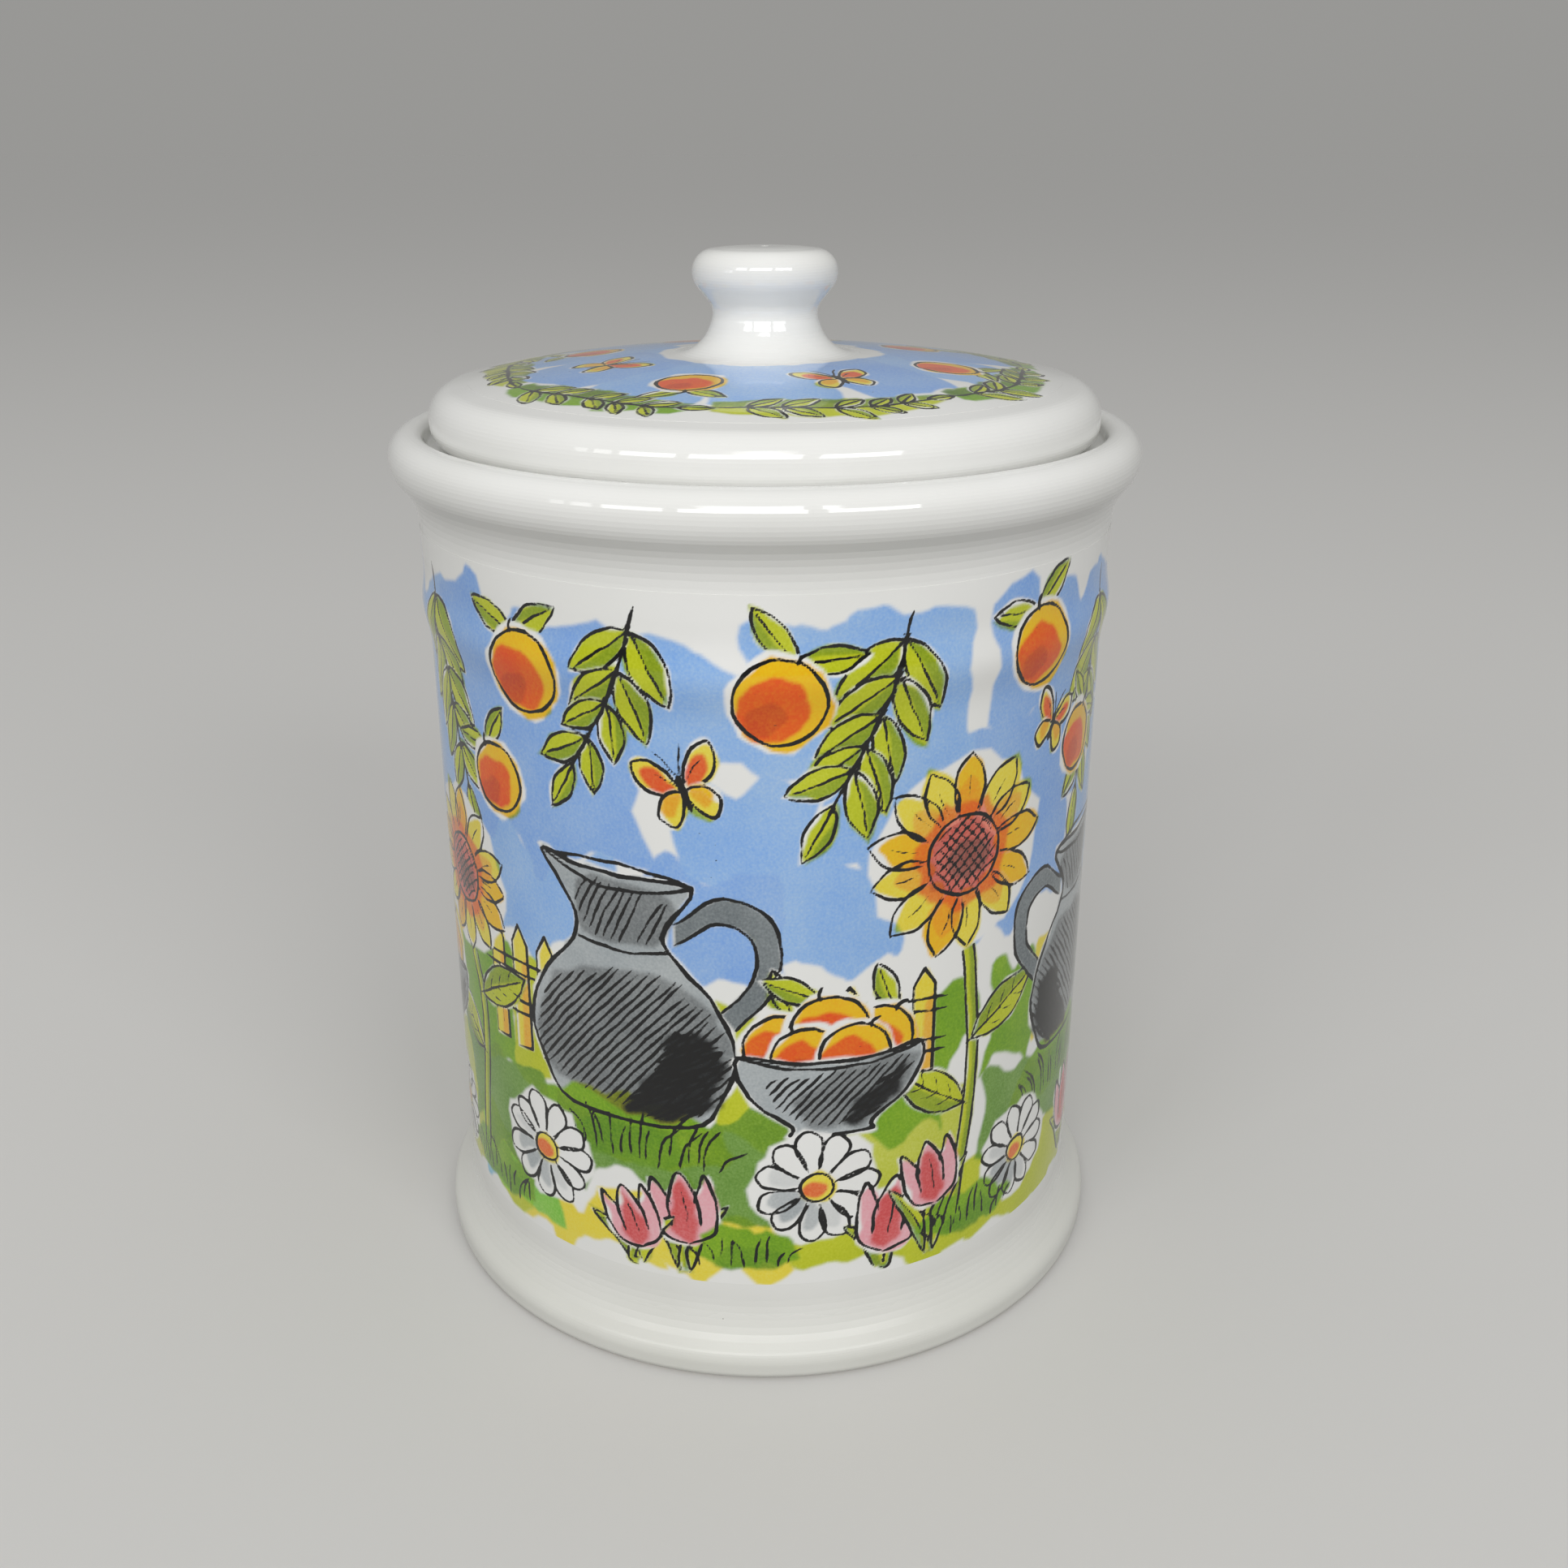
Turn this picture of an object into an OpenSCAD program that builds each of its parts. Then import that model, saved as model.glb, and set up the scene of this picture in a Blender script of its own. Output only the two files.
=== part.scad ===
// Lidded biscuit jar in glazed earthenware, with fired-on printed transfers.
// Millimetres, +Z up, origin at the centre of the foot ring on the table.
// Every piece is turned about the Z axis from an outline of [radius, height, rounding] corners.

/* [Jar wall] */
// Outer radius of the straight wall
wall_r = 69; // [60:0.5:80]
// Thickness of the wall
wall_t = 5; // [4:0.25:6.5]
// Height of the rim's crest above the table
jar_h = 178; // [130:1:240]
// Rounding where the wall meets the floor inside
floor_round = 9; // [3:0.5:16]

/* [Rim] */
// How far the rolled rim stands out from the wall
rim_out = 5.7; // [4.5:0.1:8]
// Thickness of the rolled rim from its outside to the lid's recess
rim_t = 7.4; // [6.5:0.1:9]
// Height of the rim's upright face below the crest
rim_face_h = 7.4; // [6:0.1:9]
// Height of the slope under the rim
rim_slope_h = 5.4; // [4:0.1:8]
// How far out the wall stands where it meets that slope
flare_out = 0.9; // [0.6:0.1:2]
// Rounding of the cove under the rim
rim_cove_round = 12.8; // [4:0.2:16]
// Rounding of the rim's lower edge
rim_low_round = 7.6; // [3:0.2:10]
// Rounding of the rim's crest on the outside
crest_round = 4.6; // [2:0.1:6]
// Rounding of the rim's crest on the inside
lip_round = 2.2; // [1:0.1:3]

/* [Soft bead round the upper wall] */
// Height from the bead's crest up to the slope under the rim
bead_drop = 20.4; // [16:0.1:28]
// How far the bead's crest stands out from the wall, before its rounding
bead_out = 1.6; // [1:0.1:2.4]
// Height of the bead's lower side
bead_low_h = 6.8; // [5:0.1:9]
// Height of the bead's upper side
bead_top_h = 5; // [4:0.1:7]
// How far the band above the bead stands out from the wall
band_out = 0.4; // [0.2:0.1:0.8]
// Rounding of the bead's crest
bead_crest_round = 14; // [6:0.5:20]
// Rounding where the bead runs out into the wall
bead_side_round = 20; // [8:1:30]

/* [Gallery that carries the lid] */
// Depth of the ledge below the rim's crest
ledge_drop = 3.4; // [3:0.1:6]
// Width of the ledge
ledge_w = 8.8; // [8:0.1:11]
// How far the wall of the recess leans out from the ledge to the crest
recess_lean = 0.7; // [0:0.1:1.2]
// Height of the throat below the ledge
throat_h = 6.5; // [4:0.1:12]
// Height of the slope from the throat out to the wall inside
throat_slope_h = 10; // [6:0.5:20]
// Rounding at the top of the throat
throat_top_round = 1.2; // [0.4:0.1:1.6]
// Rounding at the bottom of the throat
throat_low_round = 5; // [1:0.5:8]

/* [Foot] */
// How far the foot stands out from the wall
foot_out = 5.3; // [3:0.1:8]
// Height of the foot's upright face
foot_face_h = 5.3; // [4:0.1:9]
// Height of the slope from the foot up to the wall
foot_slope_h = 4.8; // [3:0.1:9]
// Rounding of the cove above the foot
foot_cove_round = 12; // [3:0.5:16]
// Rounding of the foot's shoulder
foot_roll_round = 4; // [1:0.2:6]
// Rounding of the foot's lower edge
foot_edge_round = 2; // [0.6:0.1:3]
// Width of the bare ring that the jar stands on, edge roundings included
ring_w = 9; // [6:0.5:14]
// Height of the recess under the floor
recess_h = 3; // [1.5:0.1:4]
// Width of the slope from the ring up into that recess
recess_slope_w = 3; // [1:0.5:6]
// Thickness of the floor
floor_t = 5.5; // [4:0.1:8]

/* [Lid] */
// Clearance between the lid's seat and the ledge
seat_gap = 0.3; // [0.2:0.05:0.5]
// Clearance between the lid's edge and the wall of the recess
edge_gap = 0.9; // [0.5:0.1:1.5]
// Clearance between the locating flange and the throat
flange_gap = 1.2; // [0.8:0.1:2]
// Height of the lid's thick edge
lid_edge_h = 10.1; // [8:0.1:12]
// Rounding of the top of that edge
lid_shoulder_round = 5.5; // [3:0.1:6.5]
// Rounding of the bottom of that edge
lid_edge_round = 4; // [2:0.1:4.5]
// Rise of the dome from the shoulder to half way in
dome_outer_rise = 4.9; // [3:0.1:8]
// Rise of the dome from half way in to the knob
dome_inner_rise = 1.2; // [0.5:0.1:3]
// Rounding of the dome half way in
dome_round = 330; // [100:10:400]
// Thickness of the lid's shell
lid_t = 4.5; // [3.5:0.1:5.5]
// Depth of the locating flange below the seat
flange_depth = 8; // [5:0.5:14]
// Thickness of the locating flange
flange_t = 4; // [3:0.1:5.5]
// Rounding inside the lid between flange and shell
lid_inside_round = 5; // [2:0.5:7]

/* [Knob] */
// Radius of the knob's head
knob_r = 14.3; // [13:0.1:18]
// Radius of the knob's waist, before its rounding
waist_r = 9.9; // [9:0.1:11]
// Radius where the neck's spreading line meets the dome
knob_foot_r = 12.8; // [12:0.1:15]
// Height of the knob above the dome
knob_h = 19; // [17:0.5:26]
// Height of the head's upright face
knob_face_h = 5.5; // [4.5:0.1:7]
// Height of the slope under the head
knob_slope_h = 5.3; // [4:0.1:6.5]
// Rise of the crown from the edge of the head to its middle
crown_rise = 0.9; // [0.3:0.1:1.5]
// Rounding of the crown half way out
crown_round = 50; // [30:5:80]
// Rounding of the head's upper edge
knob_top_round = 4.6; // [3:0.1:5]
// Rounding of the head's lower edge
knob_low_round = 5.3; // [3:0.1:6]
// Rounding of the waist under the head
waist_round = 3.5; // [2:0.1:4]
// Rounding from the neck into the dome
knob_foot_round = 8; // [4:0.1:9]
// Thickness of the hollow knob's wall
knob_t = 4.8; // [4:0.1:5.5]
// Thickness of the knob's crown
crown_t = 4; // [3.5:0.1:4.5]
// Rounding inside the hollow knob
knob_inside_round = 3; // [1:0.1:4]
// Bore of the air vent through the crown
vent_d = 1.6; // [1:0.1:3]

/* [Printed transfers] */
// Thickness of the fired-on prints
print_t = 0.15; // [0.1:0.01:0.3]
// Height of the lower edge of the body print above the table
body_print_low = 19.5; // [16:0.5:50]
// Distance from the rim's crest down to the top of the body print
body_print_drop = 18; // [16:0.5:60]
// Clear ring between the knob's foot and the lid print
lid_print_clear = 6; // [5:0.1:12]
// Clear ring between the lid print and the lid's edge
lid_print_border = 7.9; // [6:0.1:15]

/* [Hidden] */
$fn = 180;
glaze_white = "#eeeeea";
print_blue = "#7fa6d8";
print_green = "#93b84a";
arc_step = 7.5;
arc_chord = 3;
nearly_nothing = 0.0001;

rim_r = wall_r + rim_out;
inside_r = wall_r - wall_t;
foot_r = wall_r + foot_out;
floor_z = recess_h + floor_t;
recess_r = rim_r - rim_t;
ledge_z = jar_h - ledge_drop;
throat_r = recess_r - ledge_w;
throat_z = ledge_z - throat_h;
rim_slope_z = jar_h - rim_face_h - rim_slope_h;
bead_z = rim_slope_z - bead_drop;

lid_r = recess_r - edge_gap;
seat_z = ledge_z + seat_gap;
shoulder_z = seat_z + lid_edge_h;
dome_mid_r = (lid_r + waist_r) / 2;
dome_mid_z = shoulder_z + dome_outer_rise;
dome_top_z = dome_mid_z + dome_inner_rise;
flange_r = throat_r - flange_gap;
flange_inside_r = flange_r - flange_t;
knob_top_z = dome_top_z + knob_h;
crown_z = knob_top_z + crown_rise;
head_low_z = knob_top_z - knob_face_h;
waist_z = head_low_z - knob_slope_h;
lid_print_r = knob_foot_r + lid_print_clear;

// Arithmetic on outline corners
function flat(corner) = [corner[0], corner[1]];
function pick(outline, i) = outline[(i + len(outline)) % len(outline)];
function side(outline, i) = flat(pick(outline, i + 1)) - flat(pick(outline, i));
function unit(v) = v / norm(v);

// Half the angle between the two sides that meet at corner i
function half_angle(outline, i) =
    acos(-unit(side(outline, i - 1)) * unit(side(outline, i))) / 2;

// Length of side that the rounding of corner i asks for
function wanted(outline, i) = pick(outline, i)[2] / tan(half_angle(outline, i));

// Share of side i that its two roundings can both have
function share(outline, i) =
    min(1, norm(side(outline, i)) / max(wanted(outline, i) + wanted(outline, i + 1), nearly_nothing));

// Length of side that the rounding of corner i gets, so that neighbours never overlap
function granted(outline, i) =
    wanted(outline, i) * min(share(outline, i - 1), share(outline, i));

// Points of a true arc in place of corner i, or the corner itself where it is sharp
function corner_arc(outline, i) =
    let (
        here = flat(pick(outline, i)),
        back = -unit(side(outline, i - 1)),
        ahead = unit(side(outline, i)),
        half = half_angle(outline, i),
        reach = granted(outline, i),
        radius = reach * tan(half),
        turn = 180 - 2 * half,
        way = sign(ahead[0] * back[1] - ahead[1] * back[0]),
        centre = here + unit(back + ahead) * radius / sin(half),
        start = here + back * reach - centre,
        steps = max(1, ceil(turn / arc_step), ceil(radius * turn * PI / 180 / arc_chord))
    )
    reach < nearly_nothing
        ? [here]
        : [for (k = [0 : steps]) centre + turned(start, way * turn * k / steps)];

function turned(v, angle) =
    [v[0] * cos(angle) - v[1] * sin(angle), v[0] * sin(angle) + v[1] * cos(angle)];

// The whole outline with its corners rounded
function rounded(outline) = [for (i = [0 : len(outline) - 1]) each corner_arc(outline, i)];

// Outside of the jar, from the foot ring up to the crest of the rim
jar_outside = [
    [foot_r, 0, foot_edge_round],
    [foot_r, foot_face_h, foot_roll_round],
    [wall_r, foot_face_h + foot_slope_h, foot_cove_round],
    [wall_r, bead_z - bead_low_h, bead_side_round],
    [wall_r + bead_out, bead_z, bead_crest_round],
    [wall_r + band_out, bead_z + bead_top_h, bead_side_round],
    [wall_r + flare_out, rim_slope_z, rim_cove_round],
    [rim_r, jar_h - rim_face_h, rim_low_round],
    [rim_r, jar_h, crest_round]
];

// Inside of the jar, from the crest down over the gallery to the floor
jar_inside = [
    [recess_r + recess_lean, jar_h, lip_round],
    [recess_r, ledge_z, 0.8],
    [throat_r, ledge_z, throat_top_round],
    [throat_r, throat_z, throat_low_round],
    [inside_r, throat_z - throat_slope_h, throat_low_round],
    [inside_r, floor_z, floor_round],
    [0, floor_z, 0]
];

// Underside of the jar, from the centre out to the bare foot ring
jar_underside = [
    [0, recess_h, 0],
    [foot_r - ring_w - recess_slope_w, recess_h, recess_h / 2],
    [foot_r - ring_w, 0, foot_edge_round]
];

// Outside of the lid, from the centre of the knob's crown down to the seat
lid_outside = [
    [0, crown_z, 0],
    [knob_r / 2, crown_z, crown_round],
    [knob_r, knob_top_z, knob_top_round],
    [knob_r, head_low_z, knob_low_round],
    [waist_r, waist_z, waist_round],
    [knob_foot_r, dome_top_z, knob_foot_round],
    [dome_mid_r, dome_mid_z, dome_round],
    [lid_r, shoulder_z, lid_shoulder_round],
    [lid_r, seat_z, lid_edge_round]
];

// Inside of the lid, from the seat down round the flange and up into the hollow knob
lid_inside = [
    [flange_r, seat_z, 0.8],
    [flange_r - 0.6, seat_z - flange_depth, flange_t / 3],
    [flange_inside_r - 0.6, seat_z - flange_depth, flange_t / 3],
    [flange_inside_r, shoulder_z - lid_t + 1, lid_inside_round],
    [dome_mid_r, dome_mid_z - lid_t, dome_round],
    [knob_foot_r - knob_t, dome_top_z - lid_t, knob_inside_round],
    [waist_r - knob_t, waist_z, knob_inside_round],
    [knob_r - knob_t, head_low_z, knob_inside_round],
    [knob_r - knob_t, crown_z - crown_t, knob_inside_round],
    [0, crown_z - crown_t, 0]
];

module jar_section() {
    polygon(rounded(concat(jar_outside, jar_inside, jar_underside)));
}

module lid_section() {
    polygon(rounded(concat(lid_outside, lid_inside)));
}

// One-piece cast jar: foot ring, wall, rolled rim and the gallery inside it
module jar() {
    color(glaze_white)
        rotate_extrude()
            jar_section();
}

// Thin sleeve of print on the wall: the jar's own outside moved out by the print's thickness
module jar_print() {
    color(print_blue)
        rotate_extrude()
            difference() {
                intersection() {
                    translate([print_t, 0])
                        jar_section();
                    translate([inside_r + wall_t / 2, body_print_low])
                        square([rim_r, jar_h - body_print_drop - body_print_low]);
                }
                jar_section();
            }
}

// One-piece cast lid: hollow knob with its air vent, dome, thick edge and locating flange
module lid() {
    color(glaze_white)
        difference() {
            rotate_extrude()
                lid_section();
            translate([0, 0, knob_top_z - 2 * crown_t])
                cylinder(h = 4 * crown_t, d = vent_d);
        }
}

// Thin ring of print on the dome: the lid's own outside moved up by the print's thickness
module lid_print() {
    color(print_green)
        rotate_extrude()
            difference() {
                intersection() {
                    translate([0, print_t])
                        lid_section();
                    translate([lid_print_r, shoulder_z - lid_t / 2])
                        square([
                            lid_r - lid_print_border - lid_print_r,
                            lid_t + dome_outer_rise + dome_inner_rise
                        ]);
                }
                lid_section();
            }
}

jar();
jar_print();
lid();
lid_print();
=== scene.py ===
# %% [markdown]
# # A printed biscuit jar
# The jar and its lid are white earthenware under a clear gloss glaze, and both carry a fired-on
# transfer: flat washes of colour with a loose ink line over them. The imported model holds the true
# shapes already. So this lesson is about finishes: a glaze that looks wet and a little uneven, and
# a print that is drawn stroke by stroke on fine sheets, so that it stays sharp from every side.

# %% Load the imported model
import math

import bpy
import numpy as np
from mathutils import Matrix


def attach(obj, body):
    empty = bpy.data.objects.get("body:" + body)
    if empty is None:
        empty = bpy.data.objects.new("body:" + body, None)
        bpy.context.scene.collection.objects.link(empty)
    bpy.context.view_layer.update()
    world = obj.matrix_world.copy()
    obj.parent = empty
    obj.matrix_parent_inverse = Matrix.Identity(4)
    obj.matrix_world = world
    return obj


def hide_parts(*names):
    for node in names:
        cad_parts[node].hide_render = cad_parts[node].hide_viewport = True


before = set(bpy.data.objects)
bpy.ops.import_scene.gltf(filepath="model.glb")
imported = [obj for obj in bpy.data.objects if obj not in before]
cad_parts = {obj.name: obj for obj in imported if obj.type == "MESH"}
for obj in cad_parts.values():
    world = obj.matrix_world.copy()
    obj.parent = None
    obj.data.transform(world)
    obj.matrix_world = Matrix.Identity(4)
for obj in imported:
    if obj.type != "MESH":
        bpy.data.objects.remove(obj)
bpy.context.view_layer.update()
MM = 0.001
scene = bpy.context.scene
scene.view_settings.view_transform = "Standard"
print("nodes:", ", ".join(sorted(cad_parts)))

# %% [markdown]
# ## The camera
# A phone held about a forearm from the jar, a little above it and tilted down. Its place and tilt
# are real sizes. The lens follows from the focal length in pixels and the width of the image, so
# the same numbers hold at any render size.

# %% Camera
IMAGE_PX = 1932
FOCAL_PX = 1996
SENSOR_MM = 36
EYE_MM = (3.7, -330.5, 229.9)
LOOK_DOWN = math.radians(21.65)

camera_data = bpy.data.cameras.new("camera")
camera_data.sensor_width = SENSOR_MM
camera_data.lens = SENSOR_MM * FOCAL_PX / IMAGE_PX
camera = bpy.data.objects.new("camera", camera_data)
camera.location = [value * MM for value in EYE_MM]
camera.rotation_euler = (math.pi / 2 - LOOK_DOWN, 0, 0)
scene.collection.objects.link(camera)
scene.camera = camera
print(f"lens {camera_data.lens:.1f} mm")

# %% [markdown]
# ## Two helpers for materials
# Colours are written as sRGB hex values, the way a paint or a print is picked on a screen, but
# shaders work in linear light, so one function turns the one into the other. A second function adds
# a node, fills its sockets and makes its links. Every material below is built with these two.
# A pattern's scale is worked out from the real size of its features. One unit of object coordinates
# is a metre, so features that are some millimetres wide need a scale of one over that.

# %% Helpers for colours and nodes
def linear(code):
    """An sRGB hex colour as linear numbers."""
    values = np.array([int(code[i:i + 2], 16) for i in (1, 3, 5)]) / 255
    return np.where(values <= 0.04045, values / 12.92, ((values + 0.055) / 1.055) ** 2.4)


def add(tree, kind, sockets, out=0, **settings):
    """Adds a node and returns one of its outputs.

    sockets fills its inputs, by name or number, with plain values or with other nodes' outputs.
    """
    node = tree.nodes.new("ShaderNode" + kind)
    for name, value in settings.items():
        setattr(node, name, value)
    inputs = [socket for socket in node.inputs if socket.enabled]
    for key, value in sockets.items():
        socket = inputs[key] if isinstance(key, int) else next(s for s in inputs if s.name == key)
        if isinstance(value, bpy.types.NodeSocket):
            tree.links.new(value, socket)
        elif socket.type == "RGBA":
            socket.default_value = (*value, 1)
        else:
            socket.default_value = value
    outputs = [socket for socket in node.outputs if socket.enabled]
    if isinstance(out, str):
        return next(socket for socket in outputs if socket.name == out)
    return outputs[out] if outputs else None


def blank(name):
    """A new material with an empty node tree."""
    material = bpy.data.materials.new(name)
    material.use_nodes = True
    material.node_tree.nodes.clear()
    return material


def per_mm(size):
    """The scale of a pattern whose features are size millimetres wide."""
    return 1 / (size * MM)


print("mid grey, #808080, sends back", linear("#808080")[0].round(3), "of the light")

# %% [markdown]
# ## The glaze
# Tableware of this kind is slip-cast white earthenware, fired, dipped in a clear lead-free glaze
# and fired again. The glaze is glass, so its IOR is about 1.5 and it is nearly mirror smooth. What
# makes it read as glaze and not as plastic is that it isn't quite even: it lies in slow waves a
# couple of centimetres long, with a finer orange peel in them, and it holds a few pinhead specks.
# The waves are bump and not shape, because they are only some hundredths of a millimetre high.
# All patterns use object coordinates. Every piece shares the jar's own origin, so the glaze runs on
# from the ware over the print without a break.

# %% The skin of the glaze
GLAZE_IOR = 1.52
WAVE_MM = 26.0
WAVE_DEEP_MM = 0.14
PEEL_MM = 2.4
PEEL_DEEP_MM = 0.0035
SMEAR_MM = 7.0
CLEAREST, HAZIEST = 0.03, 0.065
INK_STANDS_MM = 0.012
NOISE_LOW, NOISE_HIGH = 0.3, 0.7  # a noise node seldom goes beyond these


def under_glaze(tree, place, colour, ink=None, dulled=None):
    """A colour below clear, slightly wavy glaze. Ink stands a little proud in it.

    dulled is how much rougher than elsewhere the glaze is.
    """
    slow = add(tree, "TexNoise", {"Vector": place, "Scale": per_mm(WAVE_MM), "Detail": 1.0})
    wave = add(tree, "Bump", {"Height": slow, "Distance": WAVE_DEEP_MM * MM, "Strength": 1.0})
    quick = add(tree, "TexNoise", {"Vector": place, "Scale": per_mm(PEEL_MM), "Detail": 2.0})
    skin = add(tree, "Bump", {"Height": quick, "Distance": PEEL_DEEP_MM * MM, "Strength": 1.0,
                              "Normal": wave})
    if ink is not None:
        skin = add(tree, "Bump", {"Height": ink, "Distance": INK_STANDS_MM * MM, "Strength": 1.0,
                                  "Normal": skin})
    smear = add(tree, "TexNoise", {"Vector": place, "Scale": per_mm(SMEAR_MM), "Detail": 3.0})
    gloss = add(tree, "MapRange", {"Value": smear, "From Min": NOISE_LOW, "From Max": NOISE_HIGH,
                                   "To Min": CLEAREST, "To Max": HAZIEST})
    if dulled is not None:
        gloss = add(tree, "Math", {0: gloss, 1: dulled}, operation="ADD")
    return add(tree, "BsdfPrincipled",
               {"Base Color": colour, "Roughness": gloss, "IOR": GLAZE_IOR, "Normal": skin})


print(f"glaze: waves {WAVE_MM} mm, peel {PEEL_MM} mm, IOR {GLAZE_IOR}")

# %% [markdown]
# The colour below the glaze is the body's own off-white. It is never quite one white, because the
# glaze pools and the body takes up a little iron. That also makes the specks: a Voronoi pattern
# gives each cell of a coarse grid one spot, and each cell's own random number says how large its
# spot is, or that it has none.

# %% The white of the body
CLOUD_MM = 34.0
DULLER_WHITE, CLEARER_WHITE = "#e9e9e5", "#eeeeeb"
SPECK_GRID_MM = 8.0
SPECK_RADIUS_MM = 0.17
SPECK_SOFT = 0.006  # as a share of a cell of the grid
SPECK_BROWN = "#6d5f52"
SPECK_DEPTH = 0.7
CELLS_WITHOUT = 0.55  # the share of cells that hold no speck


def ware_colour(tree, place):
    """The white of the body, faintly uneven, with its specks."""
    cloud = add(tree, "TexNoise", {"Vector": place, "Scale": per_mm(CLOUD_MM), "Detail": 2.0})
    share = add(tree, "MapRange", {"Value": cloud, "From Min": NOISE_LOW, "From Max": NOISE_HIGH})
    white = add(tree, "Mix", {"Factor": share, "A": linear(DULLER_WHITE), "B": linear(CLEARER_WHITE)},
                data_type="RGBA")
    cell = add(tree, "TexVoronoi", {"Vector": place, "Scale": per_mm(SPECK_GRID_MM)})
    number = add(tree, "SeparateColor", {"Color": cell.node.outputs["Color"]})
    radius = add(tree, "MapRange", {"Value": number, "From Min": CELLS_WITHOUT, "From Max": 1.0,
                                    "To Max": SPECK_RADIUS_MM / SPECK_GRID_MM})
    inside = add(tree, "Math", {0: radius, 1: cell}, operation="SUBTRACT")
    speck = add(tree, "MapRange", {"Value": inside, "From Max": SPECK_SOFT, "To Max": SPECK_DEPTH})
    return add(tree, "Mix", {"Factor": speck, "A": white, "B": linear(SPECK_BROWN)}, data_type="RGBA")


print(f"specks up to {2 * SPECK_RADIUS_MM:.2f} mm across")

# %% [markdown]
# ## Glazed ware, bare at the foot
# A dipped pot would stick to the kiln shelf, so the flat of its foot ring is wiped clean before the
# firing. There the biscuit shows: matt, slightly warm and porous. It could be a second piece of
# mesh, but the edge of the glaze is just a height, so the material mixes two shaders by height.

# %% Bare biscuit and the edge of the glaze
BISCUIT_GRAIN_MM = 0.5
PORES_DEEP_MM = 0.04
BISCUIT_ROUGHNESS = 0.82
BISCUIT_DARK, BISCUIT_LIGHT = "#ded3c0", "#ece4d6"
GLAZE_LINE_MM = 0.5
GLAZE_EDGE_MM = 0.15
LINE_WAVE_MM = 7.0
LINE_STRAYS_MM = 0.3


def bare_biscuit(tree, place):
    """Fired clay without glaze: chalky, porous and slightly warm."""
    grain = add(tree, "TexNoise", {"Vector": place, "Scale": per_mm(BISCUIT_GRAIN_MM), "Detail": 3.0})
    chalk = add(tree, "Mix", {"Factor": grain, "A": linear(BISCUIT_DARK), "B": linear(BISCUIT_LIGHT)},
                data_type="RGBA")
    pores = add(tree, "Bump", {"Height": grain, "Distance": PORES_DEEP_MM * MM, "Strength": 1.0})
    return add(tree, "BsdfPrincipled",
               {"Base Color": chalk, "Roughness": BISCUIT_ROUGHNESS, "Normal": pores})


def above_glaze_line(tree, place, height):
    """0 on the wiped ring and 1 above it. The edge between them strays a little."""
    stray = add(tree, "TexNoise", {"Vector": place, "Scale": per_mm(LINE_WAVE_MM), "Detail": 2.0})
    uneven = add(tree, "MapRange", {"Value": stray, "To Min": -LINE_STRAYS_MM * MM,
                                    "To Max": LINE_STRAYS_MM * MM})
    edge = add(tree, "Math", {0: height, 1: uneven}, operation="ADD")
    return add(tree, "MapRange", {"Value": edge, "From Min": GLAZE_LINE_MM * MM,
                                  "From Max": (GLAZE_LINE_MM + GLAZE_EDGE_MM) * MM})


print(f"glaze begins {GLAZE_LINE_MM} mm up, give or take {LINE_STRAYS_MM} mm")

# %% [markdown]
# Glaze runs thin over the spread of the foot and takes the marks of every table it slides on, so
# there it mirrors less sharply. Towards the bottom the white is also multiplied by a grey: painted
# shade, where the foot gets less light.

# %% Material of the ware
DULL_BELOW_MM = 24.0
DULLEST_BELOW_MM = 8.0
DULLING = 0.3
# a grey multiplied into the white towards the foot: painted shade
FOOT_PAINTED_SHADE_GREY = "#eaeae6"


def glazed_earthenware():
    """White glazed earthenware with a wiped foot ring, and painted shade towards the foot."""
    material = blank("glazed_earthenware")
    tree = material.node_tree
    place = add(tree, "TexCoord", {}, "Object")
    height = add(tree, "SeparateXYZ", {"Vector": place}, "Z")
    foot_gloss_and_shade = add(tree, "MapRange", {"Value": height, "From Min": DULLEST_BELOW_MM * MM,
                                     "From Max": DULL_BELOW_MM * MM, "To Min": 1.0, "To Max": 0.0})
    dulled = add(tree, "Math", {0: foot_gloss_and_shade, 1: DULLING}, operation="MULTIPLY")
    # painted shade: the white is multiplied by a grey that grows towards the foot
    white = add(tree, "Mix", {"Factor": foot_gloss_and_shade, "A": ware_colour(tree, place),
                              "B": linear(FOOT_PAINTED_SHADE_GREY)}, data_type="RGBA", blend_type="MULTIPLY")
    glazed = under_glaze(tree, place, white, dulled=dulled)
    above = above_glaze_line(tree, place, height)
    mixed = add(tree, "MixShader", {0: above, 1: bare_biscuit(tree, place), 2: glazed})
    add(tree, "OutputMaterial", {"Surface": mixed})
    return material


ware = glazed_earthenware()
for node in ("jar", "lid"):
    for material_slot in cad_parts[node].material_slots:
        material_slot.material = ware
print("glazed earthenware on jar and lid")

# %% [markdown]
# ## The print's material
# The transfer is printed in ceramic colour on a carrier sheet, laid on the glazed ware and fired in
# until it sinks under the gloss. The drawing itself isn't in the material: each corner of the print
# mesh carries two attributes. One is the tint of the washes. The other says how far the nearest ink
# stroke is, in millimetres. The material turns that distance into a hard edge, so a stroke stays as
# crisp as ink, which a colour on corners half a millimetre apart could never be.
# A real wash shows the grain of its screen and is fuller in some places. More colour doesn't mix
# it with white or black: light passes the same dye a little further, so each channel is raised to a
# power (Beer's law), and the Gamma node does just that. A nib leaves an edge that is a little rough.
# Both come from noise at their real sizes.

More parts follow.
